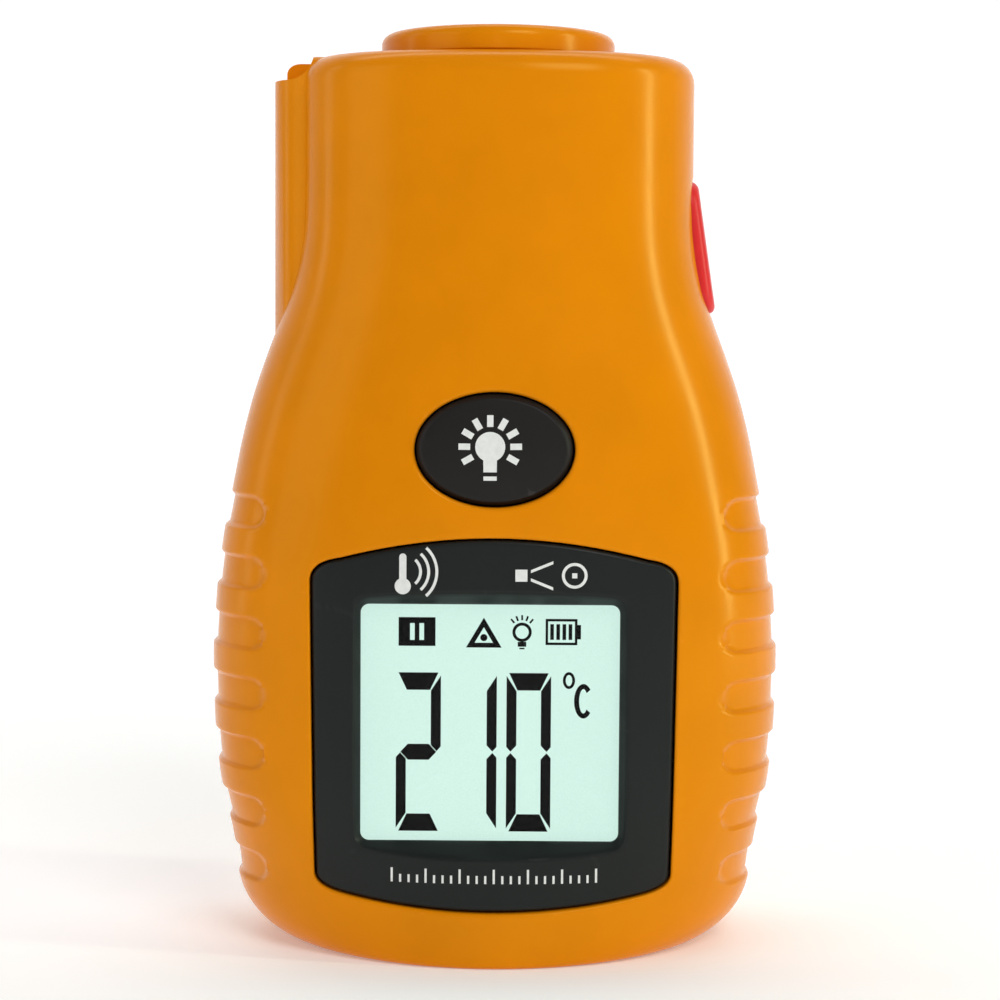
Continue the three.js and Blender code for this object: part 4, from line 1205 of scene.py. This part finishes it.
def lens_holder():
    profile = [(6.4, 86.0), (7.55, 86.0), (7.55, 98.85), (8.65, 100.0), (8.65, 103.6), (8.5, 103.9),
               (8.3, 104.0), (6.4, 104.0), (5.62, 102.6), (5.62, 98.02), (4.6, 98.0),
               (4.6, 93.5), (6.4, 91.5)]
    return closed_revolve("lens_barrel", profile, 128)


def infrared_lens():
    profile = [(0, 98.1), (5.4, 98.1), (5.4, 99.0)]
    profile += [(5.4 * math.cos(a), 99.0 + 1.22 * math.sin(a))
                for a in np.linspace(0.05, math.pi / 2 - 0.02, 18)]
    profile.append((0, 100.22))
    obj = revolve("infrared_lens", profile, count=128)
    smooth(obj)
    return obj


def case_screw(k, x, z):
    """A pan-head screw with a cross recess, its head down a hole in the back."""
    head = [(0, 0), (1.1, 0), (1.1, 13.1), (2.3, 13.12), (2.33, 13.6), (2.2, 14.3), (1.8, 14.7),
            (1.2, 14.85), (0, 14.88)]
    obj = revolve(f"case_screw_{k + 1}_looks", head, count=48)
    half, thin = 1.35, 0.28
    for u, v, foot_u, foot_v in ((half, thin, half / 2, thin), (thin, half, thin, half / 2)):
        low, high = rect(-foot_u, foot_u, -foot_v, foot_v), rect(-u, u, -v, v)
        cut(obj, loft("recess", [ring_z(low, 13.7), ring_z(high, 15.2)]))
    obj.data.transform(turn_to_y(x, z, SCREW_SEAT - 13.0))
    smooth(obj, 35)
    return obj


def build_object(m):
    window = rounded_rect(33.8, 32.0, 0.6, 6) + np.array([SCREEN["x"], 28.9])
    glass = rounded_rect(35.2, 33.2, 0.3, 4) + np.array([0, 29.0])
    floor, roof = BAY["low"] + 0.1, BAY["high"] - 0.1
    right_low, left_low = floor + 0.55, roof - 0.55 - CELL["length"]
    right_top = right_low + CELL["length"]
    front, rear = casing_shells()
    outside = [
        (front, "orange", "housing", "front_shell", "orange"),
        (rear, "orange", "housing", "rear_shell", "orange"),
        (sensor_collar(), "orange", "housing", "sensor_collar", "orange"),
        (display_bezel(), "panel", "housing", "display_bezel", "panel_black"),
        (slab("display_window_looks", window, SEAT + 0.12, SEAT + 1.08, 0.08), "clear", "housing",
         "display_window", "clear"),
        (slab("display_cell_looks", glass, SEAT + 1.3, SEAT + 3.3, 0.08), "lcd", "housing",
         "lcd_glass", "lcd"),
        (display_content(), "ink", "housing", None, None),
        (panel_prints(), "white_ink", "housing", None, None),
        (backlight_key(), "key", "backlight_key", "backlight_button", "key_black"),
        (lamp_print(), "white_ink", "backlight_key", None, None),
        (trigger_cap(), "red", "trigger", "trigger_button", "trigger_red"),
        (battery_door(), "orange", "door", "battery_door", "orange"),
        (door_label(), "label", "door", "door_label", "label_grey"),
        (label_prints(), "grey_ink", "door", None, None),
        (lens_holder(), "black", "housing", "lens_holder", "chip_black"),
        (infrared_lens(), "lens", "housing", "ir_lens", "lens_dark"),
    ]
    screws = [(case_screw(k, x, z), "steel", "housing", f"case_screw_{k + 1}", "steel")
              for k, (x, z) in enumerate(CASE_SCREWS)]
    power = [
        (cell("cell_left", -CELL["x"], left_low, True), "wrap steel", "housing",
         "battery_left", "cell_wrap"),
        (cell("cell_right", CELL["x"], right_low, False), "wrap steel", "housing",
         "battery_right", "cell_wrap"),
        (coil_spring("spring_left", -CELL["x"], floor + 0.85, left_low - 0.45), "steel", "housing",
         "contact_spring_left", "steel"),
        (coil_spring("spring_right", CELL["x"], roof - 0.85, right_top + 0.45), "steel", "housing",
         "contact_spring_right", "steel"),
    ]
    for obj, looks, body, node, slot in outside + screws + power:
        place(obj, [m[look] for look in looks.split()], body, node, slot)
    for look, nodes in CARRIED.items():
        for node in nodes.split():
            dress(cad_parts[node], m[look])
    for k in range(1, 5):
        dress(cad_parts[f"board_screw_{k}"], m["steel"])


def dress(obj, material):
    if not obj.material_slots:
        obj.data.materials.append(material)
    for slot in obj.material_slots:
        slot.material = material


# ---------------------------------------------------------------- stage, light and camera

def studio():
    """A pale floor that sweeps up into a backdrop, five soft lights and a bright surround."""
    side, flat, bend, below = 2600, 500, 600, 0.02  # the floor lies just below the object
    profile = [(-1600, 0), (-400, 0), (flat, 0)]
    profile += [(flat + bend * math.sin(a), bend - bend * math.cos(a))
                for a in np.linspace(0.1, math.pi / 2, 12)]
    profile.append((flat + bend, 2400))
    points, faces = [], []
    for y, z in profile:
        points += [(-side, y, z - below), (side, y, z - below)]
    for k in range(len(profile) - 1):
        faces.append((2 * k, 2 * k + 1, 2 * k + 3, 2 * k + 2))
    floor = make_object("floor", points, faces, flip_check=False)
    for polygon in floor.data.polygons:
        polygon.use_smooth = True
    n = Nodes("pale_floor")
    n.feed("Base Color", n.mix(n.noise(3.0), (0.9, 0.9, 0.9, 1), (0.93, 0.93, 0.93, 1)))
    n.set("Roughness", 0.9)
    n.set("Emission Color", (1, 1, 1, 1))
    n.set("Emission Strength", 0.2)
    floor.data.materials.append(n.material)

    world = bpy.data.worlds.new("surround")
    world.use_nodes = True
    background = world.node_tree.nodes["Background"]
    background.inputs["Color"].default_value = (1, 1, 1, 1)
    background.inputs["Strength"].default_value = 0.19
    bpy.context.scene.world = world

    area("key_light", (0.32, -0.68, 0.6), (0.0, 0.0, 0.05), 0.4, 0.4, 2.7)
    area("fill_light", (-0.75, -0.5, 0.35), (0.0, 0.0, 0.05), 0.5, 0.7, 1.3)
    strip = area("strip_light", (0.72, -0.2, 0.16), (0.0, 0.0, 0.07), 0.05, 0.7, 2.4)
    strip.data.color = (0.9, 1.0, 0.75)
    area("rim_light", (-0.6, 0.05, 0.2), (-0.01, 0.0, 0.07), 0.08, 0.6, 0.3)
    area("backdrop_light", (0.0, 0.35, 1.3), (0.0, 1.0, 0.5), 1.6, 0.6, 9)
    scene = bpy.context.scene
    scene.view_settings.view_transform = "Standard"
    scene.view_settings.look = "None"


def area(name, where, towards, wide, tall, power):
    """A rectangular light: places and sizes in metres, power in watts."""
    light = bpy.data.lights.new(name, "AREA")
    light.shape = "RECTANGLE"
    light.size, light.size_y = wide, tall
    light.energy = power
    obj = bpy.data.objects.new(name, light)
    obj.location = where
    obj.rotation_euler = (Vector(towards) - Vector(where)).to_track_quat("-Z", "Y").to_euler()
    bpy.context.scene.collection.objects.link(obj)
    return obj


def camera():
    """The viewpoint: just above the middle of the front, looking slightly down."""
    data = bpy.data.cameras.new("camera")
    data.lens = 89.3
    data.sensor_width = 36.0
    data.sensor_fit = "HORIZONTAL"
    data.clip_start = 0.01
    obj = bpy.data.objects.new("camera", data)
    down, roll, turn = math.radians(3.94), math.radians(-0.35), math.radians(0.392)
    obj.location = (0.0025, -0.306, 0.075)
    obj.rotation_euler = (math.pi / 2 - down, roll, turn)
    bpy.context.scene.collection.objects.link(obj)
    bpy.context.scene.camera = obj


camera()
studio()
build_object(materials())
